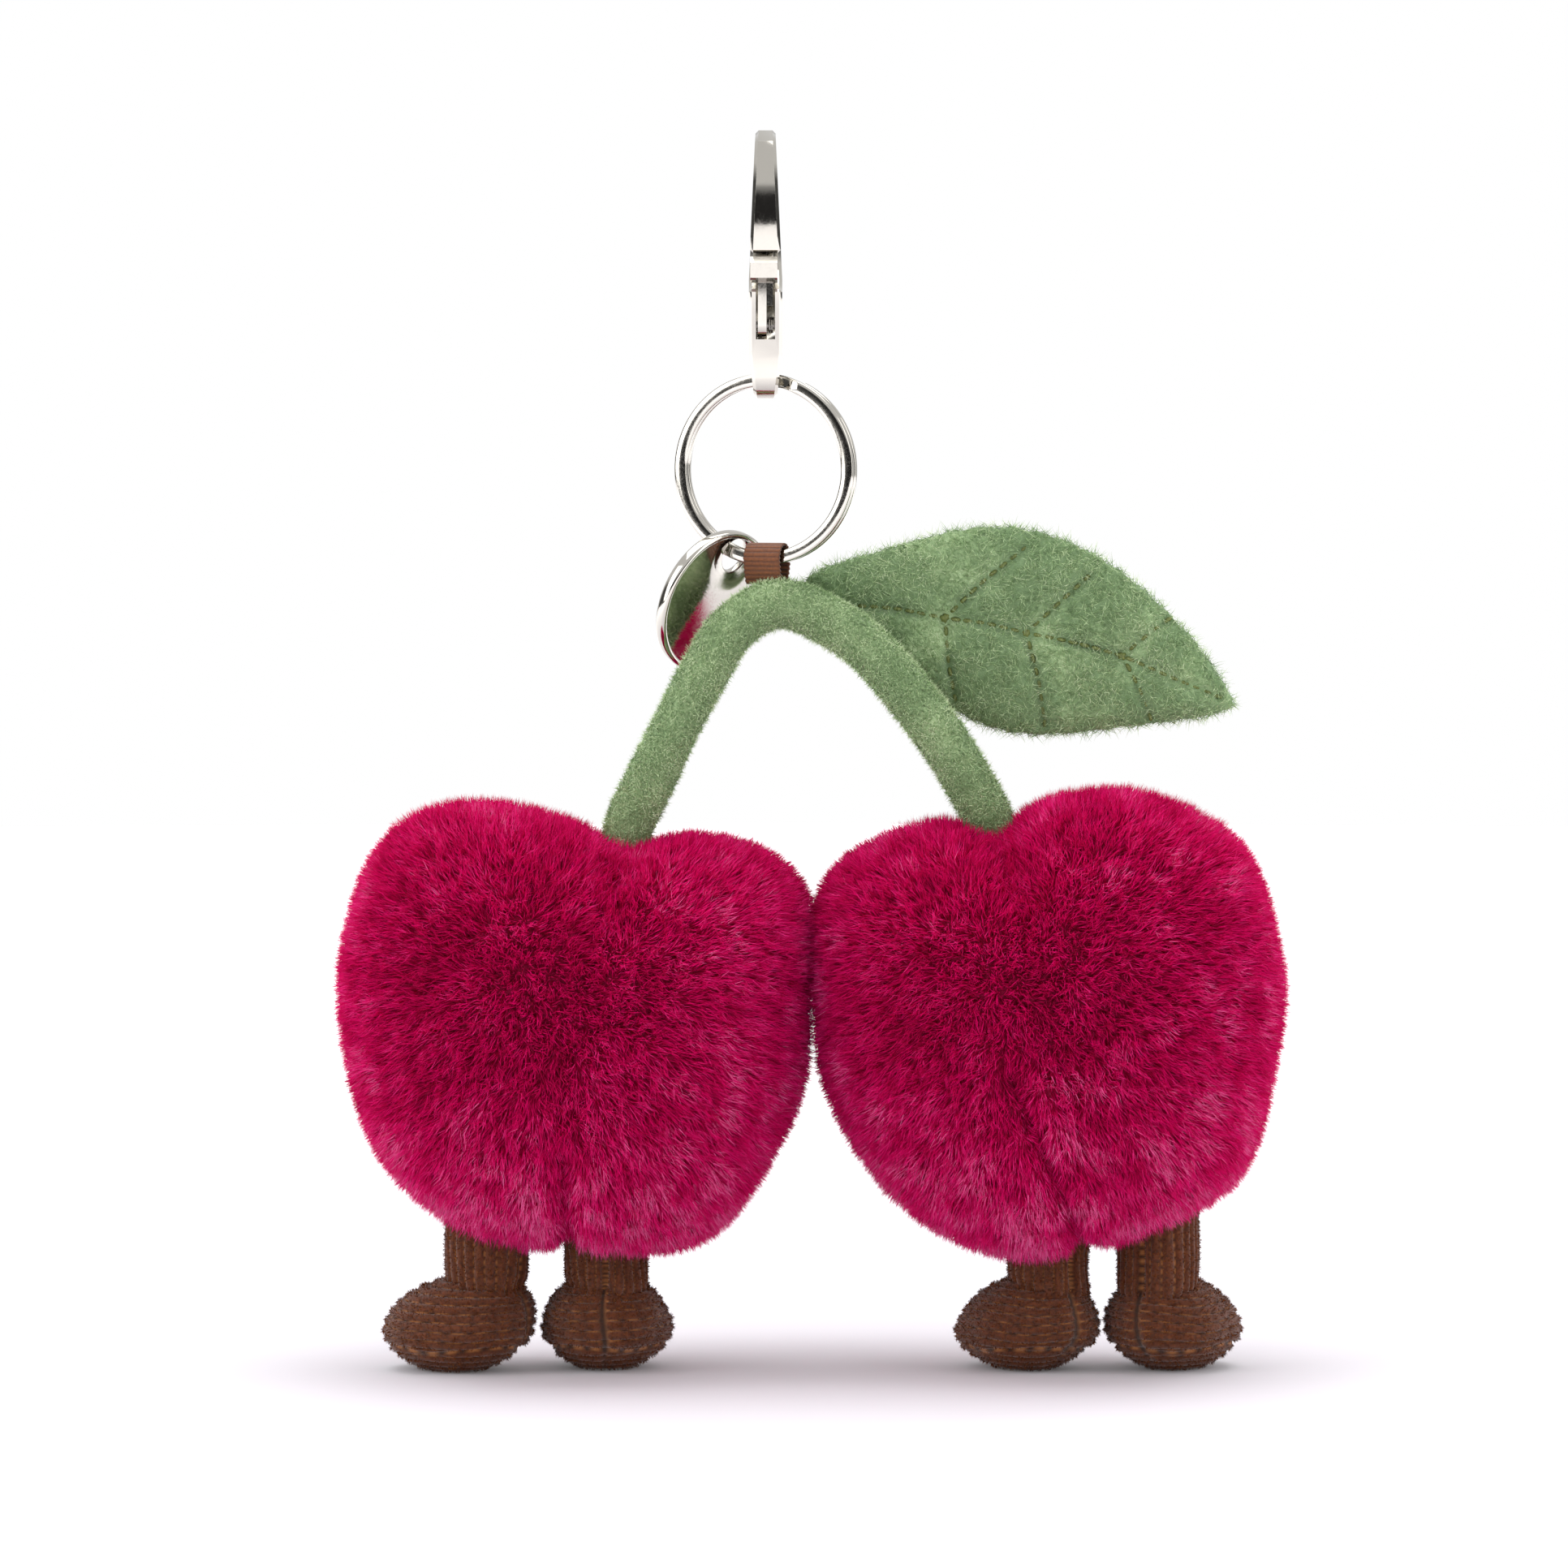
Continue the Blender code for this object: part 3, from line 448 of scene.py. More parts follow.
def nap_tree(name, roots, tips):
    """Geometry Nodes that plant a nap of fibres on a mesh.

    The mesh's "pile", "shade" and "lay" attributes thin the nap, paint light and shade into its colour and comb it.
    """
    sizes = ("Density", "Length", "Width", "Rise", "Spread", "Comb", "Clump Size", "Clump Pull", "Shade Size")
    tree, given = tree_with(name, sizes, Seed="Int", Fibre="Object")
    pile = add(tree, "GeometryNodeInputNamedAttribute", {"Name": "pile"}, data_type="FLOAT")
    shade = add(tree, "GeometryNodeInputNamedAttribute", {"Name": "shade"}, data_type="FLOAT")
    lay = add(tree, "GeometryNodeInputNamedAttribute", {"Name": "lay"}, data_type="FLOAT_VECTOR")
    thick = add(tree, "ShaderNodeMath", {0: given["Density"], 1: pile}, operation="MULTIPLY")
    planted = add(
        tree,
        "GeometryNodeDistributePointsOnFaces",
        {"Mesh": given["Geometry"], "Density": thick, "Seed": given["Seed"]},
        distribute_method="RANDOM",
    )
    normal = add(tree, "GeometryNodeCaptureAttribute", {"Geometry": planted.outputs["Points"]}, domain="POINT")
    normal.capture_items.new("VECTOR", "Normal")
    tree.links.new(planted.outputs["Normal"], normal.inputs["Normal"])
    facing = normal.outputs["Normal"]
    place = add(tree, "GeometryNodeInputPosition")

    # Which way each fibre leans: combed, drawn into clumps with its neighbours, and a little astray
    fine = add(tree, "ShaderNodeMath", {0: 1.0, 1: given["Clump Size"]}, operation="DIVIDE")
    clump = add(tree, "ShaderNodeTexNoise", {"Vector": place, "Scale": fine, "Detail": 1.0})
    centred = add(tree, "ShaderNodeVectorMath", {0: clump.outputs["Color"], 1: (0.5, 0.5, 0.5)}, operation="SUBTRACT")
    pulled = add(tree, "ShaderNodeVectorMath", {0: centred, "Scale": given["Clump Pull"]}, operation="SCALE")
    astray = add(tree, "FunctionNodeRandomValue", {0: (-1, -1, -1), 1: (1, 1, 1), "Seed": 3}, data_type="FLOAT_VECTOR")
    strayed = add(tree, "ShaderNodeVectorMath", {0: astray, "Scale": given["Spread"]}, operation="SCALE")
    combed = add(tree, "ShaderNodeVectorMath", {0: lay, "Scale": given["Comb"]}, operation="SCALE")
    lean = add(tree, "ShaderNodeVectorMath", {0: pulled, 1: strayed}, operation="ADD")
    lean = add(tree, "ShaderNodeVectorMath", {0: lean, 1: combed}, operation="ADD")
    inward = add(tree, "ShaderNodeVectorMath", {0: lean, 1: facing}, operation="PROJECT")
    flat = add(tree, "ShaderNodeVectorMath", {0: lean, 1: inward}, operation="SUBTRACT")
    upright = add(tree, "ShaderNodeVectorMath", {0: facing, "Scale": given["Rise"]}, operation="SCALE")
    aim = add(tree, "ShaderNodeVectorMath", {0: flat, 1: upright}, operation="ADD")
    spin = add(tree, "FunctionNodeRandomValue", {0: (0, 0, 0), 1: (0, 0, 6.283), "Seed": 5}, data_type="FLOAT_VECTOR")
    turned = add(tree, "FunctionNodeAlignRotationToVector", {"Rotation": spin, "Vector": aim}, axis="Z")

    # How long it is, and its tone: a random shade of the dye, with the mesh's painted light and shade added
    chance = add(tree, "FunctionNodeRandomValue", {2: 0.65, 3: 1.12, "Seed": 7}, data_type="FLOAT")
    grown = add(tree, "ShaderNodeMath", {0: chance.outputs[1], 1: given["Length"]}, operation="MULTIPLY")
    grown = add(tree, "ShaderNodeMath", {0: grown, 1: pile}, operation="MULTIPLY")
    size = add(tree, "ShaderNodeCombineXYZ", {0: given["Width"], 1: grown, 2: grown})
    wide = add(tree, "ShaderNodeMath", {0: 1.0, 1: given["Shade Size"]}, operation="DIVIDE")
    cloud = add(tree, "ShaderNodeTexNoise", {"Vector": place, "Scale": wide, "Detail": 2.0})
    mottle = add(tree, "ShaderNodeMapRange", {0: cloud, 1: 0.3, 2: 0.7, 3: 0.0, 4: 0.55})
    luck = add(tree, "FunctionNodeRandomValue", {2: 0.0, 3: 0.45, "Seed": 9}, data_type="FLOAT")
    tone = add(tree, "ShaderNodeMath", {0: mottle, 1: luck.outputs[1]}, operation="ADD")
    tone = add(tree, "ShaderNodeMath", {0: tone, 1: shade}, operation="ADD")
    marked = add(
        tree,
        "GeometryNodeStoreNamedAttribute",
        {"Geometry": normal.outputs["Geometry"], "Name": "tone", "Value": tone},
        data_type="FLOAT",
        domain="POINT",
    )
    blade = add(tree, "GeometryNodeObjectInfo", {"Object": given["Fibre"]})
    nap = add(
        tree,
        "GeometryNodeInstanceOnPoints",
        {"Points": marked, "Instance": blade.outputs["Geometry"], "Rotation": turned, "Scale": size},
    )
    made = add(tree, "GeometryNodeRealizeInstances", {"Geometry": nap})

    # Fibres are painted darker at the root than at the tip, as the shade deep in the pile
    tone = add(tree, "GeometryNodeInputNamedAttribute", {"Name": "tone"}, data_type="FLOAT")
    tip = add(tree, "GeometryNodeInputNamedAttribute", {"Name": "tip"}, data_type="FLOAT")
    for share, shades in ((0.0, roots), (1.0, tips)):
        here = add(tree, "FunctionNodeCompare", {0: tip, 1: share, 12: 0.1}, data_type="FLOAT", operation="EQUAL")
        for number, mat in enumerate(shades):
            over = number / len(shades) if number else -1.0
            level = add(tree, "FunctionNodeCompare", {0: tone, 1: over}, data_type="FLOAT", operation="GREATER_THAN")
            both = add(tree, "FunctionNodeBooleanMath", {0: here, 1: level}, operation="AND")
            made = add(tree, "GeometryNodeSetMaterial", {"Geometry": made, "Selection": both, "Material": mat})
    add(tree, "NodeGroupOutput", {"Geometry": made})
    return tree


def plant(name, ground, tree, keep_ground=False, **amounts):
    """The nap that a tree grows on a mesh, as a plain mesh of its own or together with the ground."""
    coat = ground.copy()
    coat.data = ground.data.copy()
    coat.name = name
    bpy.context.scene.collection.objects.link(coat)
    grow(coat, tree, amounts)
    if keep_ground:
        bm = bmesh.new()
        bm.from_mesh(coat.data)
        coat.data.materials.append(ground.data.materials[0])
        first = len(bm.faces)
        bm.from_mesh(ground.data)
        bm.faces.ensure_lookup_table()
        for face in bm.faces[first:]:
            face.material_index = len(coat.data.materials) - 1
        bm.to_mesh(coat.data)
        bm.free()
        bpy.data.objects.remove(ground)
    for attribute in ("tone", "tip", "pile", "shade", "lay"):
        if attribute in coat.data.attributes:
            coat.data.attributes.remove(coat.data.attributes[attribute])
    return coat


def comb(obj, pile=1.0, shade=0.0, lay=(0.0, 0.0, 0.0)):
    """Gives a mesh's nap its thickness, its painted light and shade, and the way it lies, each one value or one for
    each point.
    """
    count = len(obj.data.vertices)
    for name, value in (("pile", pile), ("shade", shade)):
        spread = np.zeros(count, np.float32)
        spread[:] = np.resize(value, count) if np.ndim(value) else value
        obj.data.attributes.new(name, "FLOAT", "POINT").data.foreach_set("value", spread)
    spread = np.zeros((count, 3), np.float32)
    given = np.reshape(lay, (-1, 3))
    spread[: count if len(given) == 1 else len(given)] = given
    obj.data.attributes.new("lay", "FLOAT_VECTOR", "POINT").data.foreach_set("vector", spread.ravel())


stalk_felt = felt("sage_felted_fleece", "#7C9468", "#A2B98A", "#C6D8AC")
stalk_path = smooth_line(STALK_LINE, 220)
stalk_rings = tube(stalk_path, STALK_R - STALK_CLOTH, STALK_AROUND)
stalk_swell = 1 + 0.035 * lumps(stalk_rings, 9.0, 4) + 0.012 * lumps(stalk_rings, 2.5, 5)
stalk_rings = stalk_path[:, None] + (stalk_rings - stalk_path[:, None]) * stalk_swell[..., None]
stalk = skin("stalk_felt", stalk_rings, stalk_felt)
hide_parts("stalk_cover", "stalk_core")
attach(stalk, "plush")

curly = fibre("curled_fibre", 0.55)
wool_tree = nap_tree(
    "felt_nap",
    fibre_shades("sage_root", ("#7F9A6C", "#91AA7A")),
    fibre_shades("sage_wool", ("#8AA474", "#AAC192", "#C6D8AC", "#D2DEB8")),
)
comb(stalk)
stalk_nap = plant(
    "stalk_nap", stalk, wool_tree, density=17e6 * FULL_PILE, length=1.0 * MM, width=0.11 * MM, rise=0.42,
    spread=1.0, comb=0.0, clump_size=1.2 * MM, clump_pull=1.6, shade_size=4 * MM, seed=11, fibre=curly,
)
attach(stalk_nap, "plush")

# ---------------------------------------------------------------- leaf
# Two layers of the same green felt over a thin wadding, turned out and quilted along the veins with olive thread.
# The stitches pull the veins down into furrows, and loose wool stands off both faces.

LEAF_OUTLINE = (
    (6.4, 116.0), (18.5, 120.4), (33.6, 123.4), (47.0, 120.0), (59.0, 110.9), (67.6, 99.8),
    (66.6, 96.8), (54.0, 94.8), (38.3, 93.7), (28.4, 96.9), (20.0, 103.0), (11.0, 110.5),
)
LEAF_CENTRE = np.array((37.0, 107.5))
LEAF_MIDDLE_Y, LEAF_HALF, LEAF_EDGE, LEAF_BOW = 3.6, 1.95, 0.75, 2.2
LEAF_VEINS = (
    ((12.4, 112.3), (19.4, 111.8), (26.4, 110.4), (32.6, 109.6), (38.4, 108.2), (45.0, 106.9), (52.5, 104.8),
     (60.0, 101.6), (66.6, 98.9)),
    ((26.4, 110.4), (32.0, 115.8), (38.0, 120.6)),
    ((26.4, 110.4), (26.9, 104.0), (27.9, 98.6)),
    ((38.4, 108.2), (42.8, 112.3), (47.3, 116.4)),
    ((38.4, 108.2), (40.2, 101.0), (41.1, 94.9)),
    ((52.5, 104.8), (56.2, 108.0), (59.2, 110.2)),
    ((52.5, 104.8), (55.0, 100.0), (56.6, 95.9)),
)
FURROW, FURROW_HALF = 1.0, 0.75  # depth and half width of the groove a seam makes
HOLLOW, HOLLOW_HALF = 0.25, 2.5  # the wider, shallower dip on both sides of it
LEAF_LONG, QUILT_RUN = 61.0, 4.5  # the leaf's length, and how far in from the edge it reaches full thickness
RIM_POINTS, RIM_WAVE, RIM_WAVES = 260, 0.12, 40  # the sewn edge ripples between its stitches


def away_from(points, line):
    """Each point's distance from a polyline, in the plane."""
    best = np.full(points.shape[:-1], 1e9)
    for start, end in zip(np.asarray(line[:-1], float), np.asarray(line[1:], float)):
        way = end - start
        share = np.clip(((points - start) @ way) / (way @ way), 0, 1)
        best = np.minimum(best, np.linalg.norm(points - start - share[..., None] * way, axis=-1))
    return best


def leaf_bow(x):
    return LEAF_BOW * np.sin(np.pi * np.clip((x - LEAF_OUTLINE[0][0]) / LEAF_LONG, 0, 1))


def leaf_thickness(spots, edge_distance):
    """Half the quilted thickness: thin at the sewn edge, full between the veins, drawn in along them."""
    rise = np.clip(edge_distance / QUILT_RUN, 0, 1)
    half = LEAF_EDGE + (LEAF_HALF - LEAF_EDGE) * (1 - (1 - rise) ** 2)
    for vein in LEAF_VEINS:
        gap = away_from(spots, vein)
        half = half - FURROW * np.exp(-((gap / FURROW_HALF) ** 2)) - HOLLOW * np.exp(-((gap / HOLLOW_HALF) ** 2))
    return np.maximum(half, 0.25)


def leaf_point(spots, half, side):
    """Points of one face. side is -1 for the face towards the viewer's side and 1 for the far one."""
    y = LEAF_MIDDLE_Y + leaf_bow(spots[..., 0]) + side * half
    return np.stack([spots[..., 0], y, spots[..., 1]], -1)


rim = smooth_line(LEAF_OUTLINE, RIM_POINTS, closed=True)
rim_out = rim - LEAF_CENTRE
rim_reach = np.linalg.norm(rim_out, axis=1)
ripple = RIM_WAVE * np.sin(np.arange(RIM_POINTS) * 2 * np.pi * RIM_WAVES / RIM_POINTS)
rim = rim + rim_out / rim_reach[:, None] * ripple[:, None]
shares = np.linspace(0.02, 1, 62)
leaf_rows = []
for side in (-1, 1):
    rows = []
    for share in shares:
        spots = LEAF_CENTRE + (rim - LEAF_CENTRE) * share
        half = leaf_thickness(spots, (1 - share) * rim_reach)
        face = leaf_point(spots, half, side)
        face[:, 1] += 0.16 * lumps(face, 3.0, 8)
        rows.append(face)
    leaf_rows.append(rows)
edge_out = LEAF_CENTRE + (rim - LEAF_CENTRE) * (1 + 0.35 / rim_reach[:, None])
edge_rows = [leaf_point(edge_out, np.full(RIM_POINTS, LEAF_EDGE * 0.45), side) for side in (-1, 1)]
leaf_felt = felt("sage_wool_felt", "#748E64", "#98B282", "#B6CC9E")
leaf = skin("leaf_quilted_felt", np.array(leaf_rows[0] + edge_rows + leaf_rows[1][::-1]), leaf_felt)
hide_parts("leaf_front", "leaf_back", "leaf_wadding")
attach(leaf, "plush")

leaf_spots = np.array([(v.co.x / MM, v.co.z / MM + HOOK_INSIDE_TOP) for v in leaf.data.vertices])
near_vein = np.min([away_from(leaf_spots, vein) for vein in LEAF_VEINS], axis=0)
comb(leaf, pile=1 - 0.8 * np.exp(-((near_vein / 0.8) ** 2)))
leaf_nap = plant(
    "leaf_nap", leaf, wool_tree, density=10e6 * FULL_PILE, length=1.9 * MM, width=0.09 * MM, rise=0.22,
    spread=1.0, comb=0.0, clump_size=2.2 * MM, clump_pull=2.0, shade_size=5 * MM, seed=12, fibre=curly,
)
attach(leaf_nap, "plush")

# Spun polyester sewing thread: olive, two-ply, with a slight gloss on each stitch.
thread, tree, shader, spot = finish_of("olive_sewing_thread", "#4A5626", 0.5)
ply = add(tree, "ShaderNodeTexNoise", {"Vector": spot, "Scale": 3000.0, "Detail": 2.0})
ramp = add(tree, "ShaderNodeValToRGB", {0: ply})
ramp.color_ramp.elements[0].color = linear("#36421C")
ramp.color_ramp.elements[1].color = linear("#8E9852")
tree.links.new(ramp.outputs[0], shader.inputs["Base Color"])

STITCH_PITCH, STITCH_LONG, STITCH_R = 1.75, 1.6, 0.3


def stitch_mesh(name, material):
    """One stitch along X, one unit long: a thread that dives into the cloth at both ends."""
    along = np.linspace(-0.5, 0.5, 7)
    plump = np.array((0.35, 0.85, 1, 1, 1, 0.85, 0.35))
    turn = np.arange(6) * np.pi / 3
    dive = -1.6 * (2 * np.abs(along)) ** 3
    points = [
        (a, r * np.cos(t), r * np.sin(t) + d) for a, r, d in zip(along, plump, dive) for t in turn
    ]
    faces = [
        (6 * i + j, 6 * i + (j + 1) % 6, 6 * i + 6 + (j + 1) % 6, 6 * i + 6 + j) for i in range(6) for j in range(6)
    ]
    faces += [tuple(range(5, -1, -1)), tuple(range(36, 42))]
    mesh = bpy.data.meshes.new(name)
    mesh.from_pydata(points, [], faces)
    mesh.materials.append(material)
    mesh.shade_smooth()
    return bpy.data.objects.new(name, mesh)


def stitch_tree(name, material):
    """Geometry Nodes that set stitches nose to tail along a mesh's edges."""
    tree, given = tree_with(name, ("Pitch", "Long", "Thread"), Stitch="Object")
    seam = add(tree, "GeometryNodeMeshToCurve", {"Mesh": given["Geometry"]})
    spaced = add(tree, "GeometryNodeCurveToPoints", {"Curve": seam, "Length": given["Pitch"]}, mode="LENGTH")
    outward = add(tree, "GeometryNodeInputNamedAttribute", {"Name": "outward"}, data_type="FLOAT_VECTOR")
    stood = add(tree, "FunctionNodeAlignRotationToVector", {"Vector": outward}, axis="Z")
    turned = add(
        tree,
        "FunctionNodeAlignRotationToVector",
        {"Rotation": stood, "Vector": spaced.outputs["Tangent"]},
        axis="X",
        pivot_axis="Z",
    )
    size = add(tree, "ShaderNodeCombineXYZ", {0: given["Long"], 1: given["Thread"], 2: given["Thread"]})
    shape = add(tree, "GeometryNodeObjectInfo", {"Object": given["Stitch"]})
    placing = {"Points": spaced, "Instance": shape.outputs["Geometry"], "Rotation": turned, "Scale": size}
    row = add(tree, "GeometryNodeInstanceOnPoints", placing)
    made = add(tree, "GeometryNodeRealizeInstances", {"Geometry": row})
    sewn = add(tree, "GeometryNodeSetMaterial", {"Geometry": made, "Material": material})
    add(tree, "NodeGroupOutput", {"Geometry": sewn})
    return tree


def sew(name, seams, material, pitch, long, radius):
    """Stitches along seams, each a list of points in millimetres and the way out of the cloth."""
    points, edges, out = [], [], []
    for line, way in seams:
        edges += [(len(points) + i, len(points) + i + 1) for i in range(len(line) - 1)]
        points += in_frame(line).tolist()
        out += np.broadcast_to(way, (len(line), 3)).tolist()
    mesh = bpy.data.meshes.new(name)
    mesh.from_pydata(points, edges, [])
    mesh.attributes.new("outward", "FLOAT_VECTOR", "POINT").data.foreach_set("vector", np.ravel(out))
    row = bpy.data.objects.new(name, mesh)
    bpy.context.scene.collection.objects.link(row)
    stitch = stitch_mesh(f"{name}_one", material)
    amounts = {"pitch": pitch * MM, "long": long * MM, "thread": radius * MM, "stitch": stitch}
    grow(row, stitch_tree(f"{name}_rows", material), amounts)
    if "outward" in row.data.attributes:
        row.data.attributes.remove(row.data.attributes["outward"])
    return row


vein_seams = []
for side in (-1, 1):
    for vein in LEAF_VEINS:
        spots = smooth_line(vein, 24)
        edge = away_from(spots, [tuple(p) for p in np.vstack([rim, rim[:1]])])
        line = leaf_point(spots, leaf_thickness(spots, edge) + 0.16, side)
        vein_seams.append((line, (0, side, 0)))
leaf_stitches = sew("leaf_vein_stitches", vein_seams, thread, STITCH_PITCH, STITCH_LONG, STITCH_R)
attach(leaf_stitches, "plush")

# ---------------------------------------------------------------- cherries
# Two stuffed balls of faux fur, 3.4 mm of crimson acrylic pile on a knitted back, each sewn from panels. The pile
# is brushed outwards and down and parts over the seams. Painted shade darkens it round its whorl, where it stands
# straight up, in the seam grooves and at both poles, and painted sheen lightens it towards the bottom.

PLUSH_Y, CHERRY_DEPTH, FULLNESS = -2.7, 56.0, 2.35
PILE_STAND, PILE_LONG = 2.5, 3.4  # how far the brushed pile stands off its backing, and its length
CHERRY_AROUND, CHERRY_RINGS = 150, 80
CHERRY_SWELL, CHERRY_SWELL_SIZE = 0.55, 15.0
SEAM_HALF, SEAM_DEEP, WHORL_REACH = 1.5, 1.3, 26.0
LEFT_OUTLINE = (
    (-19.9, 77.8), (-9.4, 79.5), (1.2, 76.0), (6.8, 69.0), (7.5, 56.0), (6.2, 42.4), (0.0, 29.5), (-8.5, 19.6),
    (-19.0, 16.6), (-32.0, 17.6), (-45.2, 20.6), (-57.5, 33.0), (-63.4, 54.4), (-60.8, 70.4), (-54.0, 80.0),
    (-43.3, 84.0), (-31.0, 82.0),
)
RIGHT_OUTLINE = (
    (33.3, 79.2), (42.0, 84.2), (53.1, 85.8), (63.4, 82.6), (71.5, 76.3), (75.6, 64.0), (75.9, 51.0), (71.3, 31.0),
    (62.6, 22.4), (50.5, 18.2), (38.1, 16.6), (26.0, 20.6), (15.4, 29.4), (7.8, 42.0), (6.5, 57.0), (7.9, 70.7),
    (14.4, 77.6), (24.4, 81.0),
)
CHERRIES = {  # side: outline, whorl of the pile, seam that shows low on each face
    "left": (LEFT_OUTLINE, (-36.0, 59.0), ((-28.8, 34.0), (-29.0, 28.0), (-29.0, 17.0))),
    "right": (RIGHT_OUTLINE, (34.0, 62.0), ((35.0, 46.0), (42.7, 28.0), (47.5, 17.0))),
}

backing, tree, shader, spot = finish_of("knitted_pile_backing", "#A00042", 0.95)
knit = add(tree, "ShaderNodeTexNoise", {"Vector": spot, "Scale": 1400.0, "Detail": 2.0})
bumps = add(tree, "ShaderNodeBump", {"Strength": 0.6, "Distance": 0.0003, "Height": knit})
tree.links.new(bumps.outputs[0], shader.inputs["Normal"])

straight = fibre("straight_fibre", 0.22)
pile_tree = nap_tree(
    "faux_fur_pile",
    fibre_shades("crimson_root", ("#B4004A", "#C40054", "#D0005C")),
    fibre_shades("crimson_pile", ("#BC004E", "#CE005A", "#DC0068", "#E62A80", "#EE66A4"), 0.0),
)


def cherry_rings(outline, inset, around, rings):
    """A ball with the given front outline, as rings from its near pole to its far one."""
    line = smooth_line(outline, around, closed=True)
    centre = (line.min(0) + line.max(0)) / 2
    turn = np.pi * np.arange(1, rings) / rings
    reach = np.sin(turn) ** (2 / FULLNESS)
    depth = np.copysign(np.abs(np.cos(turn)) ** (2 / FULLNESS), np.cos(turn)) * (CHERRY_DEPTH / 2 - inset)
    out = line - centre
    out *= 1 - inset / np.linalg.norm(out, axis=1, keepdims=True)
    spots = centre + reach[:, None, None] * out
    y = np.broadcast_to((PLUSH_Y - depth)[:, None], spots.shape[:2])
    return np.stack([spots[..., 0], y, spots[..., 1]], -1)


for number, (side, (outline, whorl, seam)) in enumerate(CHERRIES.items()):
    rings = cherry_rings(outline, PILE_STAND, CHERRY_AROUND, CHERRY_RINGS)
    middle = rings.mean((0, 1))
    out = rings - middle
    out /= np.linalg.norm(out, axis=-1, keepdims=True)
    groove = np.exp(-((away_from(rings[..., (0, 2)], seam) / SEAM_HALF) ** 2))
    swell = CHERRY_SWELL * lumps(rings, CHERRY_SWELL_SIZE, 20 + number)
    rings = rings + out * (swell - SEAM_DEEP * groove - 0.35)[..., None]
    ball = skin(f"cherry_{side}_backing", rings, backing)
    spots = rings.reshape(-1, 3)
    from_whorl = (spots - (whorl[0], 0, whorl[1])) * (1, 0, 1) / WHORL_REACH
    lay = from_whorl + (0, 0, -0.25)
    # Painted light and shade for the pile: lighter towards the bottom as painted sheen, darker as painted shade round
    # the whorl, in the seam groove and at both poles
    low = np.clip((48 - spots[:, 2]) / 40, 0, 1)
    whorl_shade_mask = np.exp(-((np.linalg.norm(from_whorl, axis=1) / 0.75) ** 2))
    shade = 0.34 * low - 0.18 * whorl_shade_mask - 0.2 * groove.ravel()
    poles = np.zeros(2)
    comb(
        ball,
        pile=np.concatenate([1 - 0.4 * groove.ravel(), poles + 1]),
        shade=np.concatenate([shade, poles - 0.2]),
        lay=np.vstack([lay, np.zeros((2, 3))]),
    )
    cherry = plant(
        f"cherry_{side}_plush", ball, pile_tree, keep_ground=True, density=15e6 * FULL_PILE, length=PILE_LONG * MM,
        width=0.18 * MM, rise=1.0, spread=0.25, comb=0.5, clump_size=2.0 * MM, clump_pull=2.4,
        shade_size=5 * MM, seed=31 + number, fibre=straight,
    )
    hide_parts(f"cherry_{side}_cover", f"cherry_{side}_stuffing")
    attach(cherry, "plush")

# ---------------------------------------------------------------- legs
# Each leg is a tube of chestnut corduroy with its wales running down, sewn into a bun-shaped foot whose wales run
# round from heel to toe over an oval sole. The heel seam and the sole seam are pulled in.

LEG_R, WALE_PITCH, WALE_DEEP = 6.05, 1.62, 0.7
FOOT_LONG, FOOT_WIDE, FOOT_HIGH, FOOT_AHEAD = 11.5, 9.7, 14.8, 5.8
WALES_ROUND, WALE_POINTS, TUBE_FROM, TUBE_ROWS = 22, 9, 7.6, 52
TUBE_PICK, FOOT_PICK = 0.5, 0.55  # spacing of the ground weave's dashes
TUBE_CREASE, CREASE_AT, CREASE_HALF, HEEL_PULL = 0.55, 11.5, 1.0, 0.7
FOOT_ROWS, FOOT_AROUND, FOOT_SIDE = 112, 150, 37  # the wales are counted up the foot's side, a quarter of the way round
BELLY_AT, SOLE_SEAM_AT, SOLE_SEAM_HALF = 6.0, 3.4, 0.35
SEAM_SPREAD = 0.7  # how far the heel seam's pull reaches
LEGS = {  # name: (leg's x, toe direction in degrees from +X towards +Y, top of the leg)
    "leg_1": (-40.9, 155, 26.0),
    "leg_2": (-23.5, 90, 22.5),
    "leg_3": (41.5, 128, 22.0),
    "leg_4": (57.6, 60, 26.0),
}

# Cotton corduroy: soft brown cut-pile wales, with the paler ground weave showing as fine dashes in the valleys.
corduroy, tree, shader, spot = finish_of("chestnut_corduroy", "#5E3010", 0.92)
wale = add(tree, "ShaderNodeAttribute", attribute_name="wale").outputs["Fac"]
pick = add(tree, "ShaderNodeAttribute", attribute_name="pick").outputs["Fac"]
tufts = add(tree, "ShaderNodeTexNoise", {"Vector": spot, "Scale": 1700.0, "Detail": 4.0, "Roughness": 0.7})
rubbed = add(tree, "ShaderNodeTexNoise", {"Vector": spot, "Scale": 260.0, "Detail": 2.0})
ridge = add(tree, "ShaderNodeValToRGB", {0: tufts})
ridge.color_ramp.elements[0].color = linear("#3C1903")
ridge.color_ramp.elements[0].position = 0.32
ridge.color_ramp.elements[1].color = linear("#72360C")
ridge.color_ramp.elements[1].position = 0.72
dashes = add(tree, "ShaderNodeMath", {0: pick, 1: rubbed}, operation="MULTIPLY")
valley = add(tree, "ShaderNodeValToRGB", {0: dashes})
valley.color_ramp.elements[0].color = linear("#2C1408")
valley.color_ramp.elements[1].color = linear("#A66A38")
valley.color_ramp.elements[1].position = 0.42
depth = add(tree, "ShaderNodeMapRange", {0: wale, 1: 0.3, 2: 0.62, 3: 0.0, 4: 1.0})
cloth = add(tree, "ShaderNodeMix", {0: depth, 6: valley.outputs[0], 7: ridge.outputs[0]}, data_type="RGBA")
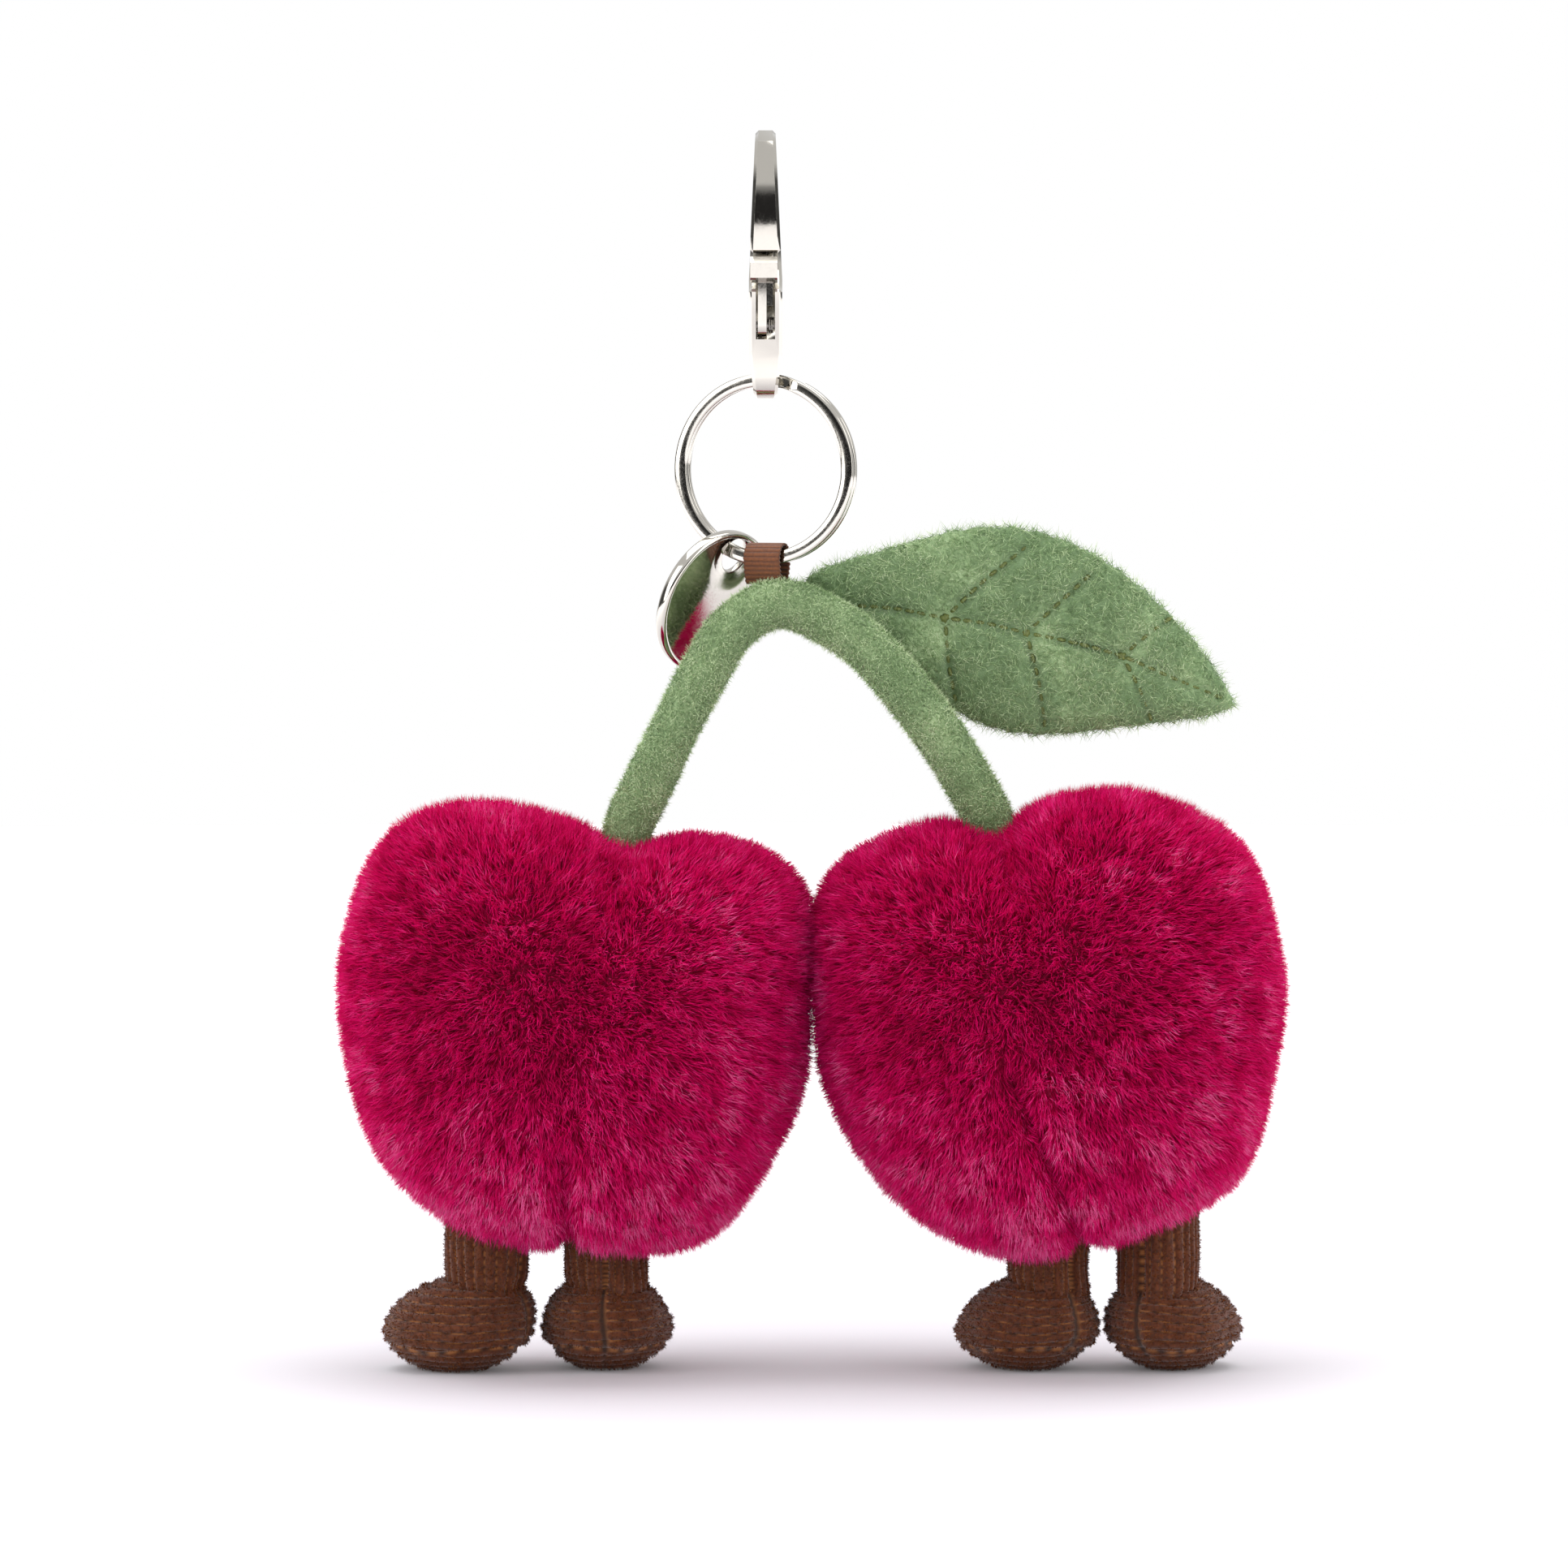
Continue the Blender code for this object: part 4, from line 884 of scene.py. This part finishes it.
tree.links.new(cloth.outputs[2], shader.inputs["Base Color"])
nub = add(tree, "ShaderNodeBump", {"Strength": 0.7, "Distance": 0.00025, "Height": tufts})
tree.links.new(nub.outputs[0], shader.inputs["Normal"])
shader.inputs["Sheen Weight"].default_value = 0.3

fuzz_tree = nap_tree(
    "corduroy_nap",
    fibre_shades("chestnut_root", ("#4C2105", "#5A2B08")),
    fibre_shades("chestnut_pile", ("#562807", "#68330D", "#7A4314", "#9C6230")),
)


def wales(measure, pitch):
    """The ridge height, from 0 in a valley to 1 on a wale, for a distance across the cloth."""
    return np.abs(np.sin(np.pi * measure / pitch)) ** 0.45


def leg_skin(name, rings, ridges, picks):
    """A corduroy skin over rings, pushed in at the valleys between wales."""
    around = np.roll(rings, -1, 1) - np.roll(rings, 1, 1)
    along = np.gradient(rings, axis=0)
    out = np.cross(around, along)
    out /= np.linalg.norm(out, axis=-1, keepdims=True) + 1e-9
    out *= np.sign((out * (rings - rings.mean((0, 1)))).sum())
    rings = rings - out * (WALE_DEEP * (1 - ridges))[..., None]
    obj = skin(name, rings, corduroy)
    store(obj, "wale", ridges)
    store(obj, "pick", picks)
    return obj


for number, (name, (x, toe, top)) in enumerate(LEGS.items()):
    forward = np.array((np.cos(np.radians(toe)), np.sin(np.radians(toe)), 0.0))
    sideways = np.cross(UP, forward)
    base = np.array((x, PLUSH_Y, 0.0))

    # The tube: wales down its length, a seam down the heel side, and a slack crease above the foot
    levels = np.linspace(TUBE_FROM, top, TUBE_ROWS)
    around = WALES_ROUND * WALE_POINTS
    turn = np.arange(around) * 2 * np.pi / around
    height, angle = np.meshgrid(levels, turn, indexing="ij")
    wander = 0.35 * lumps(np.stack([height, 8 * np.cos(angle), 8 * np.sin(angle)], -1), 7.0, 40 + number)
    heel = np.abs((angle + np.pi) % (2 * np.pi) - np.pi)
    seam = np.exp(-((heel * LEG_R / SEAM_SPREAD) ** 2))
    crease = np.exp(-(((height - CREASE_AT - 1.2 * np.cos(angle + number)) / CREASE_HALF) ** 2))
    radius = LEG_R + 0.25 * lumps(np.stack([height, 6 * np.cos(angle), 6 * np.sin(angle)], -1), 6.0, 50 + number)
    radius = radius - TUBE_CREASE * crease - HEEL_PULL * seam
    tube_rings = (
        base
        + forward * (np.cos(angle + np.pi) * radius)[..., None]
        + sideways * (np.sin(angle + np.pi) * radius)[..., None]
        + UP * height[..., None]
    )
    ridges = wales(angle * LEG_R + wander, 2 * np.pi * LEG_R / WALES_ROUND) * (1 - 0.5 * seam)
    picks = 0.5 + 0.5 * np.sin(2 * np.pi * height / TUBE_PICK)
    shaft = leg_skin(f"{name}_corduroy_tube", tube_rings, ridges, picks)
    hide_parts(f"{name}_tube")

    # The foot: level rings from the sole to the ankle, drawn back over the instep
    rise = np.linspace(0.0, 1.0, FOOT_ROWS)
    level = FOOT_HIGH * rise
    under = np.sin(np.pi / 2 * np.clip(level / BELLY_AT, 0, 1)) ** 0.75
    belly = np.where(level < BELLY_AT, 0.36 + 0.64 * under, 1.0)
    close = (1 - np.clip((level - BELLY_AT) / (FOOT_HIGH - BELLY_AT), 0, 1) ** 1.9) ** 0.55
    swell = np.maximum(belly * close, 0.05)
    turn = np.arange(FOOT_AROUND) * 2 * np.pi / FOOT_AROUND
    ahead = FOOT_AHEAD * (1 - 0.75 * rise**1.6) - 0.6 * (1 - swell)
    foot_rings = (
        base
        + forward * (ahead[:, None] + FOOT_LONG * swell[:, None] * np.cos(turn))[..., None]
        + sideways * (FOOT_WIDE * swell[:, None] * np.sin(turn))[..., None]
        + UP * np.broadcast_to(level[:, None], (len(rise), len(turn)))[..., None]
    )
    foot_rings[..., :2] += 0.25 * lumps(foot_rings, 6.0, 60 + number)[..., None] * (forward + sideways)[:2]
    arc = np.concatenate([[0], np.cumsum(np.linalg.norm(np.diff(foot_rings[:, FOOT_SIDE], axis=0), axis=1))])
    drift = 0.3 * lumps(foot_rings, 8.0, 70 + number)
    ridges = wales(arc[:, None] + drift, WALE_PITCH)
    sole_seam = np.exp(-(((level - SOLE_SEAM_AT)[:, None] - 0.4 * np.sin(3 * turn)) / SOLE_SEAM_HALF) ** 2)
    heel_gap = np.abs(turn - np.pi) * FOOT_WIDE
    heel_seam = np.exp(-((heel_gap / SEAM_SPREAD) ** 2))[None, :] * np.clip(level / 4, 0, 1)[:, None]
    ridges = ridges * (1 - 0.8 * sole_seam) * (1 - 0.8 * heel_seam)
    picks = np.broadcast_to(0.5 + 0.5 * np.sin(2 * np.pi * turn * FOOT_LONG / FOOT_PICK), ridges.shape)
    foot = leg_skin(f"{name}_corduroy_foot", foot_rings, ridges, picks)
    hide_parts(f"{name}_foot_upper", f"{name}_sole", f"{name}_stuffing")

    for piece, part in ((shaft, "tube"), (foot, "foot")):
        ridge_values = np.zeros(len(piece.data.vertices), np.float32)
        piece.data.attributes["wale"].data.foreach_get("value", ridge_values)
        comb(piece, pile=ridge_values, lay=(0, 0, -0.2))
        fluff = plant(
            f"{name}_{part}_nap", piece, fuzz_tree, density=10e6 * FULL_PILE, length=0.55 * MM, width=0.1 * MM,
            rise=0.8, spread=0.8, comb=1.0, clump_size=0.9 * MM, clump_pull=1.5, shade_size=3 * MM,
            seed=50 + number, fibre=curly,
        )
        for cloth_piece in (piece, fluff):
            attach(cloth_piece, "plush")

# ---------------------------------------------------------------- floor, light and camera
# A white studio sweep. Large soft panels stand left, right and overhead; the room behind the camera is dark, which
# gives polished metal its black bands.

floor_white, tree, shader, spot = finish_of("matt_white_floor", "#D6D4DA", 0.8)
shader.inputs["Emission Color"].default_value = linear("#FFFFFF")
flat_spot = add(tree, "ShaderNodeVectorMath", {0: spot, 1: (1.0, 1.0, 0.0)}, operation="MULTIPLY")
out_from = add(tree, "ShaderNodeVectorMath", {0: flat_spot}, operation="LENGTH").outputs["Value"]
glow = add(tree, "ShaderNodeMapRange", {0: out_from, 1: 0.06, 2: 0.5, 3: 0.05, 4: 1.0})
tree.links.new(glow.outputs[0], shader.inputs["Emission Strength"])
floor_turn = np.arange(96) * 2 * np.pi / 96
floor_rim = np.stack([np.cos(floor_turn), np.sin(floor_turn), 0 * floor_turn], 1)
floor_rings = np.array([floor_rim * reach - UP * 0.05 for reach in (0.01, 200.0, 1400.0)])
floor = skin("studio_floor", floor_rings, floor_white, capped=False)
bpy.context.view_layer.update()


def panel(name, place, target, width, tall, power):
    """A soft white rectangular light at a place in metres, facing a target."""
    lamp = bpy.data.lights.new(name, "AREA")
    lamp.shape = "RECTANGLE"
    lamp.size, lamp.size_y, lamp.energy = width, tall, power
    obj = bpy.data.objects.new(name, lamp)
    aim_at(obj, place, target)


def aim_at(obj, place, target):
    """Puts a light or camera at a place and turns it to face a target."""
    bpy.context.scene.collection.objects.link(obj)
    way = np.asarray(target, float) - place
    obj.location = place
    obj.rotation_euler = Vector(way).to_track_quat("-Z", "Y").to_euler()


SUBJECT = (0.006, 0.0, -0.09)
panel("left_panel", (-1.1, -0.6, 0.45), SUBJECT, 0.8, 1.2, 9.0)
panel("right_panel", (1.1, -0.5, 0.35), SUBJECT, 0.8, 1.2, 6.0)
panel("top_panel", (0.0, 0.1, 1.1), SUBJECT, 1.4, 1.0, 12.0)

world = bpy.data.worlds.new("studio")
bpy.context.scene.world = world
world.use_nodes = True
tree = world.node_tree
tree.nodes.clear()
ray = add(tree, "ShaderNodeTexCoord").outputs["Generated"]
parts = add(tree, "ShaderNodeSeparateXYZ", {0: ray})
# Towards the camera, and far out to each side, the room is dark at eye height, so that metal has dark edges
height = add(tree, "ShaderNodeMath", {0: parts.outputs["Z"]}, operation="ABSOLUTE")
low = add(tree, "ShaderNodeMapRange", {0: height, 1: 0.16, 2: 0.36, 3: 1.0, 4: 0.0})
ahead = add(tree, "ShaderNodeMapRange", {0: parts.outputs["Y"], 1: -0.8, 2: -0.4, 3: 0.97, 4: 0.0})
gloom = add(tree, "ShaderNodeMath", {0: low, 1: ahead}, operation="MULTIPLY")
beside = add(tree, "ShaderNodeMath", {0: parts.outputs["X"]}, operation="ABSOLUTE")
side_gloom = add(tree, "ShaderNodeMapRange", {0: beside, 1: 0.88, 2: 0.96, 3: 0.0, 4: 0.9})
gloom = add(tree, "ShaderNodeMath", {0: gloom, 1: side_gloom}, operation="MAXIMUM")
bands = add(tree, "ShaderNodeValToRGB", {0: gloom})
bands.color_ramp.elements[0].color = (1, 1, 1, 1)
bands.color_ramp.elements[1].color = (0, 0, 0, 1)
soft = add(tree, "ShaderNodeBackground", {"Color": bands.outputs[0], "Strength": 0.85})
white = add(tree, "ShaderNodeBackground", {"Color": (1, 1, 1, 1), "Strength": 1.0})
seen = add(tree, "ShaderNodeLightPath").outputs["Is Camera Ray"]
both = add(tree, "ShaderNodeMixShader", {0: seen, 1: soft, 2: white})
add(tree, "ShaderNodeOutputWorld", {"Surface": both})
bpy.context.scene.view_settings.view_transform = "Standard"

# The camera looks 3 degrees down from 1.15 m with a long lens, at the middle of the charm
CAMERA_FAR, CAMERA_DOWN = 1.15, np.radians(3.0)
aim_point = in_frame((2.7, 0.0, 86.2))
lens = bpy.data.cameras.new("long_lens")
lens.lens, lens.sensor_width = 180.0, 36.0
camera = bpy.data.objects.new("camera", lens)
aim_at(camera, aim_point + CAMERA_FAR * np.array((0.0, -np.cos(CAMERA_DOWN), np.sin(CAMERA_DOWN))), aim_point)
bpy.context.scene.camera = camera
